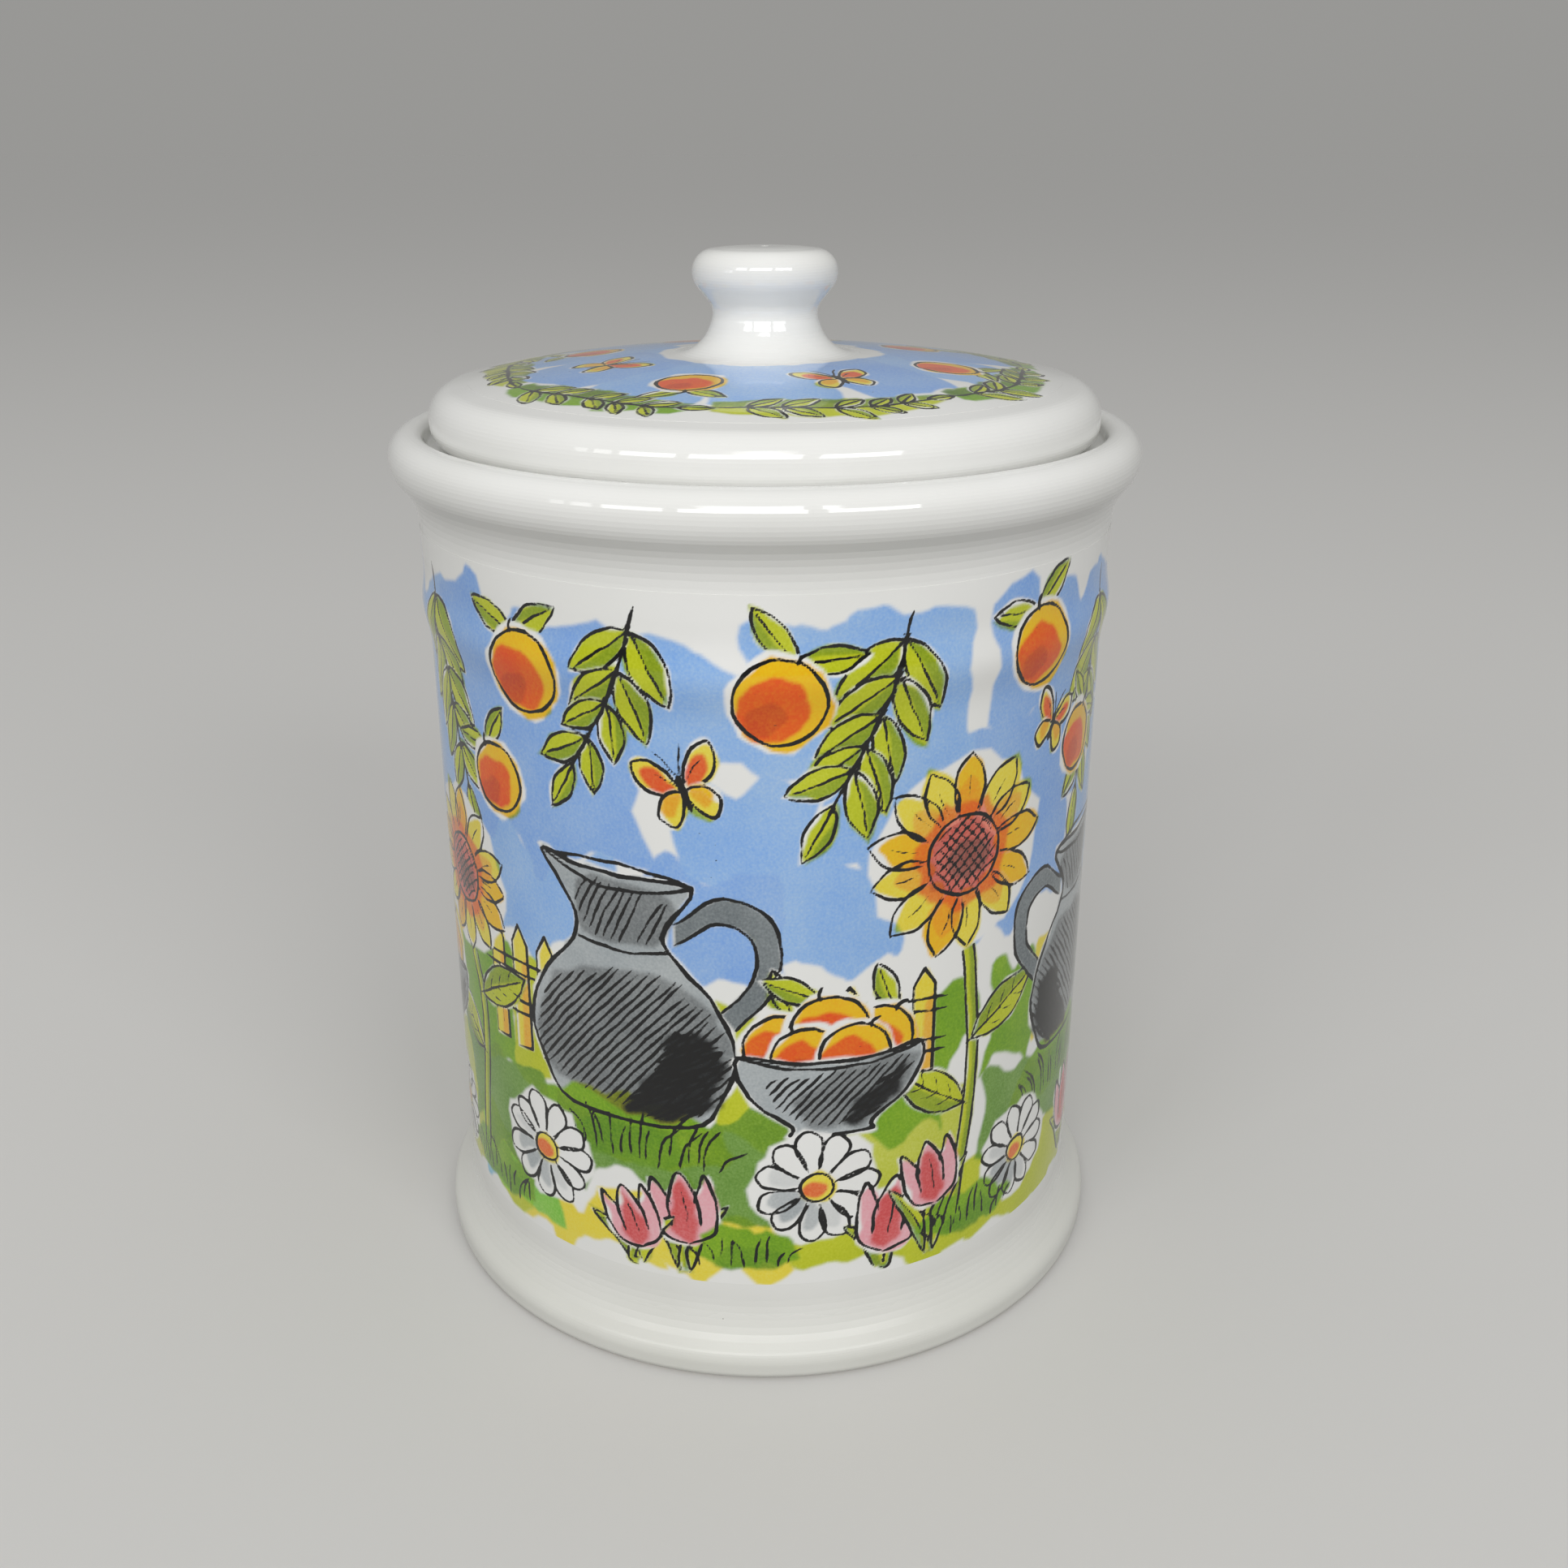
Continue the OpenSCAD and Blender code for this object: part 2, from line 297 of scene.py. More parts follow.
# %% Washes and ink
SCREEN_GRAIN_MM = 0.5
SCREEN_LOW, SCREEN_HIGH = 0.25, 0.75  # the reach of the screen's finer noise
SCREEN_LEAST, SCREEN_MOST = 0.82, 1.12
WASH_CLOUD_MM = 12.0
CLOUD_LEAST, CLOUD_MOST = 0.86, 1.1
NIB_GRAIN_MM = 0.7
NIB_LOW, NIB_HIGH = 0.2, 0.8  # the reach of the nib's noise
NIB_ROUGH_MM = 0.08
INK_SOFT_MM = 0.06


def washed_ware(tree, place):
    """The washes' tint over the white of the body, with its screen grain and fuller places."""
    tint = add(tree, "Attribute", {}, "Color", attribute_name="tint")
    screen = add(tree, "TexNoise", {"Vector": place, "Scale": per_mm(SCREEN_GRAIN_MM), "Detail": 1.0})
    fine = add(tree, "MapRange", {"Value": screen, "From Min": SCREEN_LOW, "From Max": SCREEN_HIGH,
                                  "To Min": SCREEN_LEAST, "To Max": SCREEN_MOST})
    cloud = add(tree, "TexNoise", {"Vector": place, "Scale": per_mm(WASH_CLOUD_MM), "Detail": 3.0})
    slow = add(tree, "MapRange", {"Value": cloud, "From Min": NOISE_LOW, "From Max": NOISE_HIGH,
                                  "To Min": CLOUD_LEAST, "To Max": CLOUD_MOST})
    depth = add(tree, "Math", {0: fine, 1: slow}, operation="MULTIPLY")
    wash_colour = add(tree, "Gamma", {"Color": tint, "Gamma": depth})
    return add(tree, "Mix", {"Factor": 1.0, "A": ware_colour(tree, place), "B": wash_colour},
               data_type="RGBA", blend_type="MULTIPLY")


def where_inked(tree, place):
    """1 inside a stroke of ink and 0 beside it, from the distance that the mesh carries."""
    distance = add(tree, "Attribute", {}, "Fac", attribute_name="ink")
    nib = add(tree, "TexNoise", {"Vector": place, "Scale": per_mm(NIB_GRAIN_MM), "Detail": 2.0})
    rough = add(tree, "MapRange", {"Value": nib, "From Min": NIB_LOW, "From Max": NIB_HIGH,
                                   "To Min": -NIB_ROUGH_MM, "To Max": NIB_ROUGH_MM})
    edge = add(tree, "Math", {0: distance, 1: rough}, operation="ADD")
    return add(tree, "MapRange", {"Value": edge, "From Min": INK_SOFT_MM, "From Max": -INK_SOFT_MM})


print(f"print grain {SCREEN_GRAIN_MM} mm, ink edge {NIB_GRAIN_MM} mm")

# %% [markdown]
# Under the glaze, the ink hides the washes, and it stands a hair proud of them. The jar's print and
# the lid's are two transfers, so each gets its own material from the same recipe.

# %% Material of the print
INK_BLACK = "#050506"


def fired_on_print(name):
    """Ceramic print: washes and ink under the same glaze as the ware."""
    material = blank(name)
    tree = material.node_tree
    place = add(tree, "TexCoord", {}, "Object")
    inked = where_inked(tree, place)
    colour = add(tree, "Mix", {"Factor": inked, "A": washed_ware(tree, place), "B": linear(INK_BLACK)},
                 data_type="RGBA")
    add(tree, "OutputMaterial", {"Surface": under_glaze(tree, place, colour, inked)})
    return material


jar_print_glaze = fired_on_print("in_glaze_print_jar")
lid_print_glaze = fired_on_print("in_glaze_print_lid")
print("materials:", jar_print_glaze.name, "and", lid_print_glaze.name)

# %% [markdown]
# ## Drawing on a sheet of points
# The print could be painted as an image, but a script that needs no picture file can draw it: the
# sheet is a cloud of points in millimetres, and each stroke changes only the points near it. A wash
# multiplies their tint, as a clear ink does over another. The pen keeps the smallest distance to
# any stroke so far. Points round the jar are numbered along its girth, which closes on itself, so
# the sheet knows its period and a stroke may cross the place where the numbers start again. The
# draughtsman's hand is one random generator with a fixed seed, so every run draws the same print.

# %% The sheet
hand = np.random.default_rng(11)
NO_INK = 1.2


class Sheet:
    """Points of a print in millimetres, their tints and their distances to ink."""

    def __init__(self, x, y, period=0.0):
        self.x = x.ravel().astype(np.float32)
        self.y = y.ravel().astype(np.float32)
        self.period = period
        self.tint = np.ones((self.x.size, 3), np.float32)
        self.ink = np.full(self.x.size, NO_INK, np.float32)

    def near(self, line, reach):
        """The points near a line: their numbers, and their places on the line's own side."""
        low = line.min(0) - reach
        high = line.max(0) + reach
        middle = (low + high) / 2
        half = (high - low) / 2
        across = self.x - middle[0]
        if self.period:
            across = (across + self.period / 2) % self.period - self.period / 2
        up = self.y - middle[1]
        chosen = np.flatnonzero((abs(across) < half[0]) & (abs(up) < half[1]))
        places = np.stack([across[chosen] + middle[0], up[chosen] + middle[1]], 1)
        return chosen, places.astype(np.float32)


print("a stroke reaches", NO_INK, "mm into the points beside it")

# %% [markdown]
# The pen needs the distance from each near point to a line, and a wash needs to know which points
# lie inside a loop. Both are worked out for all the near points at once, one stretch of the line
# after another. The edge of a loop is softened over a feather's width.

# %% Distances and insides
def distance_to(places, line, half_width=0.0):
    """Distance from each place to a line, less the line's half width there."""
    line = line.astype(np.float32)
    widths = np.broadcast_to(np.float32(half_width), (len(line),))
    best = np.full(len(places), 99, np.float32)
    steps = np.diff(line, axis=0)
    for (ax, ay), (dx, dy), w0, w1 in zip(line, steps, widths, widths[1:]):
        px = places[:, 0] - ax
        py = places[:, 1] - ay
        share = np.clip((px * dx + py * dy) / (dx * dx + dy * dy + 1e-9), 0, 1)
        gap = np.hypot(px - share * dx, py - share * dy) - w0 - share * (w1 - w0)
        np.minimum(best, gap, out=best)
    return best


def is_inside(places, loop):
    """True for each place inside a closed loop."""
    x, y = places.T
    hit = np.zeros(len(places), bool)
    for (ax, ay), (bx, by) in zip(loop, np.roll(loop, -1, 0)):
        if ay != by:
            crosses = (ay > y) != (by > y)
            hit ^= crosses & (x < (bx - ax) * (y - ay) / (by - ay) + ax)
    return hit


def covered(sheet, loop, feather):
    """The points in or near a closed loop, and how far each is covered, from 0 to 1."""
    chosen, places = sheet.near(loop, feather)
    gap = distance_to(places, np.vstack([loop, loop[:1]]))
    gap = np.where(is_inside(places, loop), -gap, gap)
    share = np.clip(0.5 - gap / feather, 0, 1)
    return chosen, share * share * (3 - 2 * share)


level_line = np.array([(0.0, 0.0), (10.0, 0.0)])
print("3 mm above a line:", distance_to(np.array([(5.0, 3.0)]), level_line)[0], "mm from it")

# %% [markdown]
# ## Lines with a hand in them
# Each shape is given by the few points that a draughtsman would fix first. A Catmull-Rom curve runs
# through them, and two slow sine waves make it waver. A random jitter on every point would look
# like noise. The wavering of a hand is slow, and that is what makes a line look drawn.

# %% Curves and their wavering
def curve(points, steps=6, closed=False):
    """A smooth line through points."""
    p = np.asarray(points, float)
    if closed:
        p = np.vstack([p[-1:], p, p[:2]])
    else:
        p = np.vstack([2 * p[0] - p[1], p, 2 * p[-1] - p[-2]])
    t = np.linspace(0, 1, steps, endpoint=False)[:, None]
    runs = []
    for a, b, c, d in zip(p, p[1:], p[2:], p[3:]):
        bend = (2 * a - 5 * b + 4 * c - d) * t ** 2 + (3 * b - a - 3 * c + d) * t ** 3
        runs.append((2 * b + (c - a) * t + bend) / 2)
    line = np.vstack(runs)
    return line if closed else np.vstack([line, p[-2]])


def run_along(line):
    """How far along a line each of its points is."""
    return np.r_[0, np.cumsum(np.linalg.norm(np.diff(line, axis=0), axis=1))]


def waver(line, amount, wave, closed=False):
    """A line as a hand would draw it, off by up to amount in slow waves."""
    run = run_along(line)
    total = max(run[-1], 1e-6)
    out = np.array(line, float)
    for share in (1.0, 0.45):
        length = wave * share
        if closed:
            length = total / max(1, round(total / length))
        phase = hand.uniform(0, 2 * np.pi, 2)
        out += amount * share ** 0.7 * np.sin(2 * np.pi * run[:, None] / length + phase)
    return out


print("a curve through 3 points has", len(curve([(0, 0), (5, 2), (10, 0)])), "corners")

# %% [markdown]
# A motif's points are set down round a zero point of their own, mostly as shares of its size. Then
# they are made larger, turned and moved to their place. Round things start from an oval.

# %% Loops and their places
def placed(points, x=0.0, y=0.0, turn=0.0, size=1.0):
    """Points made size times as large, turned, and moved to x, y."""
    c, s = np.cos(turn), np.sin(turn)
    return np.asarray(points, float) * size @ np.array([[c, s], [-s, c]]) + (x, y)


def oval(x, y, wide, high=None, turn=0.0, corners=28):
    """A closed oval by its half width and half height."""
    angle = np.linspace(0, 2 * np.pi, corners, endpoint=False)
    high = wide if high is None else high
    return placed(np.stack([wide * np.cos(angle), high * np.sin(angle)], 1), x, y, turn)


def turns_round(x, y, wide, high, start, turns):
    """An open line that goes round an oval, as a pen does that misses its own start."""
    angle = start + np.linspace(0, 2 * np.pi * turns, 34)
    return np.stack([x + wide * np.cos(angle), y + high * np.sin(angle)], 1)


def outgrown(loop, by):
    """A loop, larger by that much all round its middle."""
    out = loop - loop.mean(0)
    reach = np.maximum(np.linalg.norm(out, axis=1, keepdims=True), 1e-6)
    return loop + out / reach * by


print("an oval of 8 mm has", len(oval(0, 0, 4)), "corners")

# %% [markdown]
# ## Pen, wash and bare paper
# Four tools draw everything. The pen presses harder in places and is thin where the nib lands and
# lifts. The wash has a soft edge and takes less where colour already lies, as one layer of marker
# over another does. The cover is for large grounds: two of its patches meet without a dark seam. The
# fourth leaves a place bare, which gives each motif its white halo.

# %% The four tools
PEN_WAVE_MM, WASH_WAVE_MM, BARE_WAVE_MM = 9.0, 11.0, 12.0
LEAST_HALF_PEN_MM = 0.2
PRESS_MEAN, PRESS_SWING = 0.84, 0.18
PRESS_WAVE_MM = (9, 16)
NIB_LANDS = 0.35  # the share of its width that a stroke has at its ends
NIB_OPENS_MM = 1.6


def pen(sheet, line, width=0.75, rough=0.10):
    """One ink stroke."""
    line = waver(np.asarray(line, float), rough, PEN_WAVE_MM)
    run = run_along(line)
    beats = 2 * np.pi * run / hand.uniform(*PRESS_WAVE_MM) + hand.uniform(0, 6)
    press = PRESS_MEAN + PRESS_SWING * np.sin(beats)
    half = np.maximum(width / 2 * press, LEAST_HALF_PEN_MM)
    half = half * np.minimum(1, NIB_LANDS + np.minimum(run, run[-1] - run) / NIB_OPENS_MM)
    chosen, places = sheet.near(line, width + NO_INK)
    sheet.ink[chosen] = np.minimum(sheet.ink[chosen], distance_to(places, line, half))


def wash(sheet, loop, colour, strength=1.0, feather=0.7, ragged=0.35, over=0.3):
    """One patch of colour. over is what it still adds where colour already lies."""
    chosen, share = covered(sheet, waver(loop, ragged, WASH_WAVE_MM, True), feather)
    room = over + (1 - over) * sheet.tint[chosen]
    taken = (share * strength)[:, None] * room * (1 - linear(colour))
    sheet.tint[chosen] *= (1 - taken).astype(np.float32)


def cover(sheet, loop, colour, strength=1.0, feather=1.0, ragged=0.4):
    """One patch of opaque colour. Where a darker one lies already, that one stays."""
    chosen, share = covered(sheet, waver(loop, ragged, WASH_WAVE_MM, True), feather)
    darker = np.minimum(sheet.tint[chosen], linear(colour))
    step = (darker - sheet.tint[chosen]) * (share * strength)[:, None]
    sheet.tint[chosen] += step.astype(np.float32)


def leave_bare(sheet, loop, feather=0.7, ragged=0.3):
    """Takes colour and ink away again inside a loop."""
    chosen, share = covered(sheet, waver(loop, ragged, BARE_WAVE_MM, True), feather)
    sheet.tint[chosen] += (1 - sheet.tint[chosen]) * share[:, None]
    cleared = np.minimum(NO_INK, (share * 2 - 1) * NO_INK)
    sheet.ink[chosen] = np.maximum(sheet.ink[chosen], cleared)


print("tools ready: pen, wash, cover and bare paper")

# %% [markdown]
# Hatching is pen strokes too. The loop is turned so that its strokes lie level, level lines cut it,
# and each stroke is turned back. Some are a little short or long, and a few are left out.

# %% Hatching
SHORTEST_STROKE_MM = 1.5
LEFT_OUT = 0.05


def hatch(sheet, loop, spacing=1.7, lean=0.85, width=0.6):
    """Fills a loop with slanted strokes. lean is their angle from the level, in radians."""
    flat = placed(loop, turn=-lean)
    following = np.roll(flat, -1, 0)
    for level in np.arange(flat[:, 1].min() + spacing * 0.6, flat[:, 1].max(), spacing):
        cut = (flat[:, 1] > level) != (following[:, 1] > level)
        a, b = flat[cut], following[cut]
        meets = np.sort(a[:, 0] + (level - a[:, 1]) / (b[:, 1] - a[:, 1]) * (b[:, 0] - a[:, 0]))
        for start, end in zip(meets[::2], meets[1::2]):
            if end - start > SHORTEST_STROKE_MM and hand.random() > LEFT_OUT:
                start += hand.uniform(0, 0.8)
                end += hand.uniform(-1.6, 0.7)
                stroke = [(start, level), ((start + end) / 2, level + 0.25),
                          (end, level + hand.normal(0, 0.25))]
                pen(sheet, placed(curve(stroke, 5), turn=lean), width)


print(f"hatching leaves out {LEFT_OUT:.0%} of its strokes")

# %% [markdown]
# ## The colours of the print
# Ceramic colours are few and clear, so the print keeps to one family each of blue, green, yellow,
# red, pink and grey. Each value is what one layer gives on white ware. The reds are printed
# strongest, so they keep most of their depth over yellow and pink.

# %% Colours of the print
SKY, DEEP_SKY, POND = "#9cc6ff", "#93bdfc", "#8fd4f8"
LIME, LEAF, MOSS = "#cdd61c", "#7db00a", "#689c0e"
LEMON, GOLD, ORANGE, RUST = "#fae648", "#ffc808", "#fa5a00", "#e23600"
PINK, ROSE, BROWN = "#fab6c2", "#e85c5c", "#8c3f18"
ASH, SLATE, COAL = "#b4bbc0", "#7e868b", "#2b2e31"
RED_OVER = 0.75  # what a red still adds over yellow or pink
print("sky blue in linear light:", linear(SKY).round(3))

# %% [markdown]
# ## Leaves and sprigs
# A leaf is two bowed lines and a midrib over a light wash, with a darker half. The wash is set a
# little beside the lines, because on such prints colour and ink never meet exactly.

# %% Leaf
LEAF_SIDE = [(0, 0), (0.22, 0.36), (0.55, 0.5), (0.82, 0.27), (1, 0)]
LEAF_RIB = [(-0.08, 0), (0.45, 0.03), (0.9, 0)]


def leaf(sheet, x, y, turn, long=14.0, wide=6.0, veins=3):
    """One leaf from its stalk at x, y."""
    size = np.array([long, wide])
    up = curve(LEAF_SIDE * size)
    down = up * (1, -0.92)
    loop = placed(np.vstack([up, down[::-1][1:-1]]), x, y, turn)
    leave_bare(sheet, outgrown(loop, 0.35), 0.6, 0.15)
    off = hand.normal(0, 0.35, 2)
    wash(sheet, loop + off, LIME, 1.0, 0.6, 0.25)
    half = np.vstack([up, np.array([(0.7, 0.1), (0.3, 0.12)]) * size])
    wash(sheet, placed(half, x, y, turn) + off, LEAF, 0.85, 0.6, 0.2)
    pen(sheet, placed(up, x, y, turn), 0.7)
    pen(sheet, placed(down, x, y, turn + hand.normal(0, 0.02)), 0.65)
    pen(sheet, placed(curve(LEAF_RIB * size), x, y, turn), 0.6)
    for k in range(veins):
        start = 0.22 + 0.2 * k
        for side in (1, -1):
            vein = [(start, 0), (start + 0.09, side * 0.2), (start + 0.16, side * 0.3)]
            pen(sheet, placed(vein * size, x, y, turn), 0.45)


print("a leaf's side has", len(curve(LEAF_SIDE)), "corners")

# %% [markdown]
# Stalks and long blades are ribbons: a spine with a side to its left and one to its right. They are
# coloured alike, light all over and darker on one side of the spine.

# %% Stalk and blade
def ribbon(line, wide):
    """The two sides of a line, wide apart."""
    across = np.gradient(line, axis=0)[:, ::-1] * (1, -1)
    across /= np.linalg.norm(across, axis=1, keepdims=True)
    return line + across * wide / 2, line - across * wide / 2


def two_tone(sheet, spine, left, right):
    """A long green shape: light all over, darker on one side of its spine."""
    loop = np.vstack([left, right[::-1]])
    leave_bare(sheet, loop, 0.6, 0.1)
    wash(sheet, loop + hand.normal(0, 0.3, 2), LIME, 1, 0.6, 0.3)
    wash(sheet, np.vstack([spine, right[::-1]]), LEAF, 0.88, 0.65, 0.2)
    pen(sheet, left, 0.72)
    pen(sheet, right, 0.75)


def stalk(sheet, points, wide=2.7):
    """A stalk through points."""
    line = curve(points)
    two_tone(sheet, line, *ribbon(line, wide))


def blade(sheet, x, y, tip, wide=3.6):
    """A long leaf from the ground at x, y to its tip."""
    foot, tip = np.array([x, y]), np.array(tip)
    step = tip - foot
    bow = np.array([-step[1], step[0]]) * hand.uniform(0.06, 0.16) * np.sign(step[0])
    spine = curve([foot, foot + step / 2 + bow, tip])
    along = np.linspace(0, 1, len(spine))[:, None]
    swell = np.sin(np.pi * (0.18 + 0.82 * along)) ** 0.8
    two_tone(sheet, spine, *ribbon(spine, wide * swell))
    pen(sheet, spine[3:-2], 0.5)


print("stalk and blade ready")

# %% [markdown]
# A sprig is a line with pairs of leaves along it, smaller towards the tip. The twig is drawn last,
# so it runs over the leaves' ends.

# %% Sprig
def heading(line, i):
    """The direction of a line just before its point i."""
    dx, dy = line[i] - line[i - 1]
    return math.atan2(dy, dx)


def sprig(sheet, line, pairs=5, leaf_long=11.0):
    """Pairs of leaves along a line, smaller towards its tip."""
    run = run_along(line) / run_along(line)[-1]
    for k in range(pairs):
        share = 0.12 + 0.8 * k / pairs
        i = int(np.searchsorted(run, share))
        for side in (1, -1):
            long = leaf_long * (1 - 0.35 * share) * hand.uniform(0.88, 1.1)
            turn = heading(line, i) + side * hand.uniform(0.55, 0.8)
            leaf(sheet, *line[i], turn, long, long * 0.45, 0)
    leaf(sheet, *line[-2], heading(line, -1), leaf_long * 0.75, leaf_long * 0.3, 0)
    pen(sheet, line, 0.8)


print("a sprig of 5 pairs has", 5 * 2 + 1, "leaves")

# %% [markdown]
# ## Fruit and butterflies
# Small warm motifs sit in the blue and carry most of the orange of the print. Each is a yellow
# ground with a redder patch off its middle, which is what makes two flat washes look round.

# %% Orange
PORES_OF_PEEL = 4


def orange(sheet, x, y, radius=7.0, leaves=2, turn=0.0):
    """An orange with leaves at its stalk. turn leans the stalk to the left."""
    up = np.array([-math.sin(turn), math.cos(turn)])
    top = np.array([x, y]) + up * radius * 0.9
    for k in range(leaves):
        way = turn + (0.35 if k else math.pi - 0.5) + hand.normal(0, 0.15)
        leaf(sheet, *top, way, radius * 1.5, radius * 0.62, 0)
    leave_bare(sheet, oval(x, y, radius + 0.9), 0.7, 0.35)
    wash(sheet, oval(x + 0.5, y - 0.4, radius * 1.02), GOLD, 1, 0.7, 0.4)
    cheek = oval(x - radius * 0.14, y - radius * 0.16, radius * 0.78, radius * 0.7)
    wash(sheet, cheek, ORANGE, 1, 0.9, 0.4, RED_OVER)
    shade = oval(x - radius * 0.3, y - radius * 0.4, radius * 0.46, radius * 0.34, 0.6)
    wash(sheet, shade, RUST, 0.9, 0.9)
    pen(sheet, turns_round(x, y, radius * 0.97, radius * 0.93, 1.2, hand.uniform(1.0, 1.07)), 0.8)
    pen(sheet, curve([top - up * 0.3, top + up * 1.3, top + placed([(1.0, 2.6)], turn=turn)[0]]), 0.95)
    for _ in range(PORES_OF_PEEL):
        spot = (x, y) + hand.uniform(-0.5, 0.5, 2) * radius
        pen(sheet, [spot, spot + (0.25, 0.1)], 0.6, 0)


print("an orange has", PORES_OF_PEEL, "pores of its peel drawn in")

# %% [markdown]
# A butterfly is the same two shapes of wing on both sides, and a dotted path shows where it flew.

# %% Butterfly
FORE_WING = [(0.04, 0.1), (0.45, 0.85), (0.95, 0.95), (0.9, 0.4), (0.4, 0.02)]
HIND_WING = [(0.05, 0.0), (0.5, 0.02), (0.75, -0.4), (0.45, -0.75), (0.12, -0.35)]
PATH_DOTS = 4


def butterfly(sheet, x, y, size=8.0, turn=0.0):
    """A butterfly seen from above, with a dotted path behind it."""
    for side in (1, -1):
        for wing, colour in ((FORE_WING, ORANGE), (HIND_WING, GOLD)):
            shape = curve(wing * np.array([side, 1]), 5, True)
            loop = placed(shape, x, y, turn, size)
            leave_bare(sheet, outgrown(loop, 0.5), 0.6, 0.2)
            wash(sheet, loop + hand.normal(0, 0.35, 2), LEMON, 1, 0.6, 0.3)
            heart = placed(shape * 0.7 + (0.1 * side, 0.05), x, y, turn, size)
            wash(sheet, heart, colour, 1, 0.8, 0.3, RED_OVER)
            pen(sheet, np.vstack([loop, loop[:2]]), 0.75)
        feeler = [(0.02 * side, 0.35), (0.18 * side, 0.8), (0.34 * side, 1.1)]
        pen(sheet, placed(curve(feeler), x, y, turn, size), 0.45)
        vein = [(0.12 * side, 0.16), (0.42 * side, 0.5), (0.66 * side, 0.62)]
        pen(sheet, placed(vein, x, y, turn, size), 0.45)
    pen(sheet, placed(curve([(0, 0.4), (0.03, 0), (0, -0.5)]), x, y, turn, size), 1.3)
    for k in range(PATH_DOTS):
        dot = placed([(0.22 * math.sin(1.3 * k), -1.0 - 0.36 * k)], x, y, turn, size)[0]
        pen(sheet, [dot, dot + (0.25, 0.1)], 0.8, 0)


print("a butterfly has", PATH_DOTS, "dots behind it")

# %% [markdown]
# ## Flowers
# Sunflowers give the print its tall yellow forms, daisies its white ones and tulips its pink. A
# sunflower is a ring of rays, not quite even, round a core that is hatched both ways.

# %% Sunflower
RAY = curve([(0.36, 0.0), (0.5, 0.16), (0.78, 0.17), (1.0, 0.0), (0.78, -0.17), (0.5, -0.16)], 4, True)
RAY_LEFT = curve([(0.42, 0.12), (0.6, 0.17), (0.82, 0.15), (1.0, 0.0)], 4)
RAY_RIGHT = curve([(0.42, -0.1), (0.62, -0.17), (0.84, -0.13), (1.01, 0.01)], 4)
RAYS = (13, 16)


def petal_turns(count):
    """Directions of petals all round, not quite even."""
    return np.linspace(0, 2 * np.pi, count, endpoint=False) + hand.normal(0, 0.05, count)


def sunflower(sheet, x, y, radius=17.0):
    """A sunflower head."""
    turns = petal_turns(int(hand.integers(*RAYS)))
    leave_bare(sheet, oval(x, y, radius), 0.9, 0.9)
    for k, turn in enumerate(turns):
        size = radius * hand.uniform(0.94, 1.1)
        off = hand.normal(0, 0.3, 2)
        wash(sheet, placed(RAY, x, y, turn, size) + off, LEMON if k % 3 else GOLD, 1, 0.6, 0.25)
        if k % 2:
            wash(sheet, placed(RAY * (0.7, 0.8) + (0.1, 0), x, y, turn, size), GOLD, 0.9, 0.7, 0.2)
    wash(sheet, oval(x, y, radius * 0.56), ORANGE, 0.8, 1.2, 0.8, RED_OVER)
    wash(sheet, oval(x - 0.6, y - 0.5, radius * 0.4), RUST, 1, 0.8, 0.5)
    wash(sheet, oval(x + 1.2, y - 1.2, radius * 0.26, radius * 0.2), BROWN, 0.85, 1.0, 0.4)
    for turn in turns:
        size = radius * hand.uniform(0.97, 1.07)
        pen(sheet, placed(RAY_LEFT, x, y, turn, size), 0.72)
        pen(sheet, placed(RAY_RIGHT, x, y, turn, size), 0.68)
        pen(sheet, placed([(0.5, 0.0), (0.66, 0.015), (0.78, 0.0)], x, y, turn, size), 0.45)
    pen(sheet, turns_round(x, y, radius * 0.42, radius * 0.41, 0.4, 1.06), 0.8)
    for lean in (0.7, -0.85):
        hatch(sheet, oval(x, y, radius * 0.38), radius * 0.085, lean, 0.5)


print(f"a sunflower has {RAYS[0]} to {RAYS[1] - 1} rays")

# %% [markdown]
# A daisy is mostly bare paper: only the petals away from the light take a grey wash.

# %% Daisy
PETAL = curve([(0.24, 0), (0.5, 0.17), (0.82, 0.2), (1, 0.04), (0.84, -0.19), (0.5, -0.15)], 5, True)
PETALS = 11
SHADED_SIDE = 4.0
LEAST_SHADE = 0.1


def daisy(sheet, x, y, radius=11.0):
    """A white daisy."""
    turns = petal_turns(PETALS)
    leave_bare(sheet, oval(x, y, radius * 1.03), 0.9, 0.7)
    for turn in turns:
        shade = math.cos(turn - SHADED_SIDE)
        if shade > LEAST_SHADE:
            fold = placed(PETAL * (0.8, 0.7) + (0, -0.02), x, y, turn, radius)
            wash(sheet, fold, ASH, 0.95 * shade, 1.0, 0.3)
    for turn in turns:
        pen(sheet, placed(PETAL[2:-1], x, y, turn, radius * hand.uniform(0.94, 1.05)), 0.72)
    leave_bare(sheet, oval(x, y, radius * 0.27), 0.6, 0.1)
    wash(sheet, oval(x + 0.3, y, radius * 0.29), LEMON, 1, 0.7, 0.3)
    wash(sheet, oval(x - 0.4, y - 0.5, radius * 0.2, radius * 0.16), ORANGE, 1, 0.8, 0.2)
    pen(sheet, turns_round(x, y, radius * 0.26, radius * 0.25, 0, 1.08), 0.75)
    for _ in range(5):
        spot = (x, y) + hand.normal(0, 0.1, 2) * radius
        pen(sheet, [spot, spot + (0.2, 0.15)], 0.55, 0)


print("a daisy has", PETALS, "petals")

# %% [markdown]
# A tulip is one cup with three petals drawn into it. It stands on the ground line with a short stalk
# and two long leaves, which are drawn first and lie behind it.

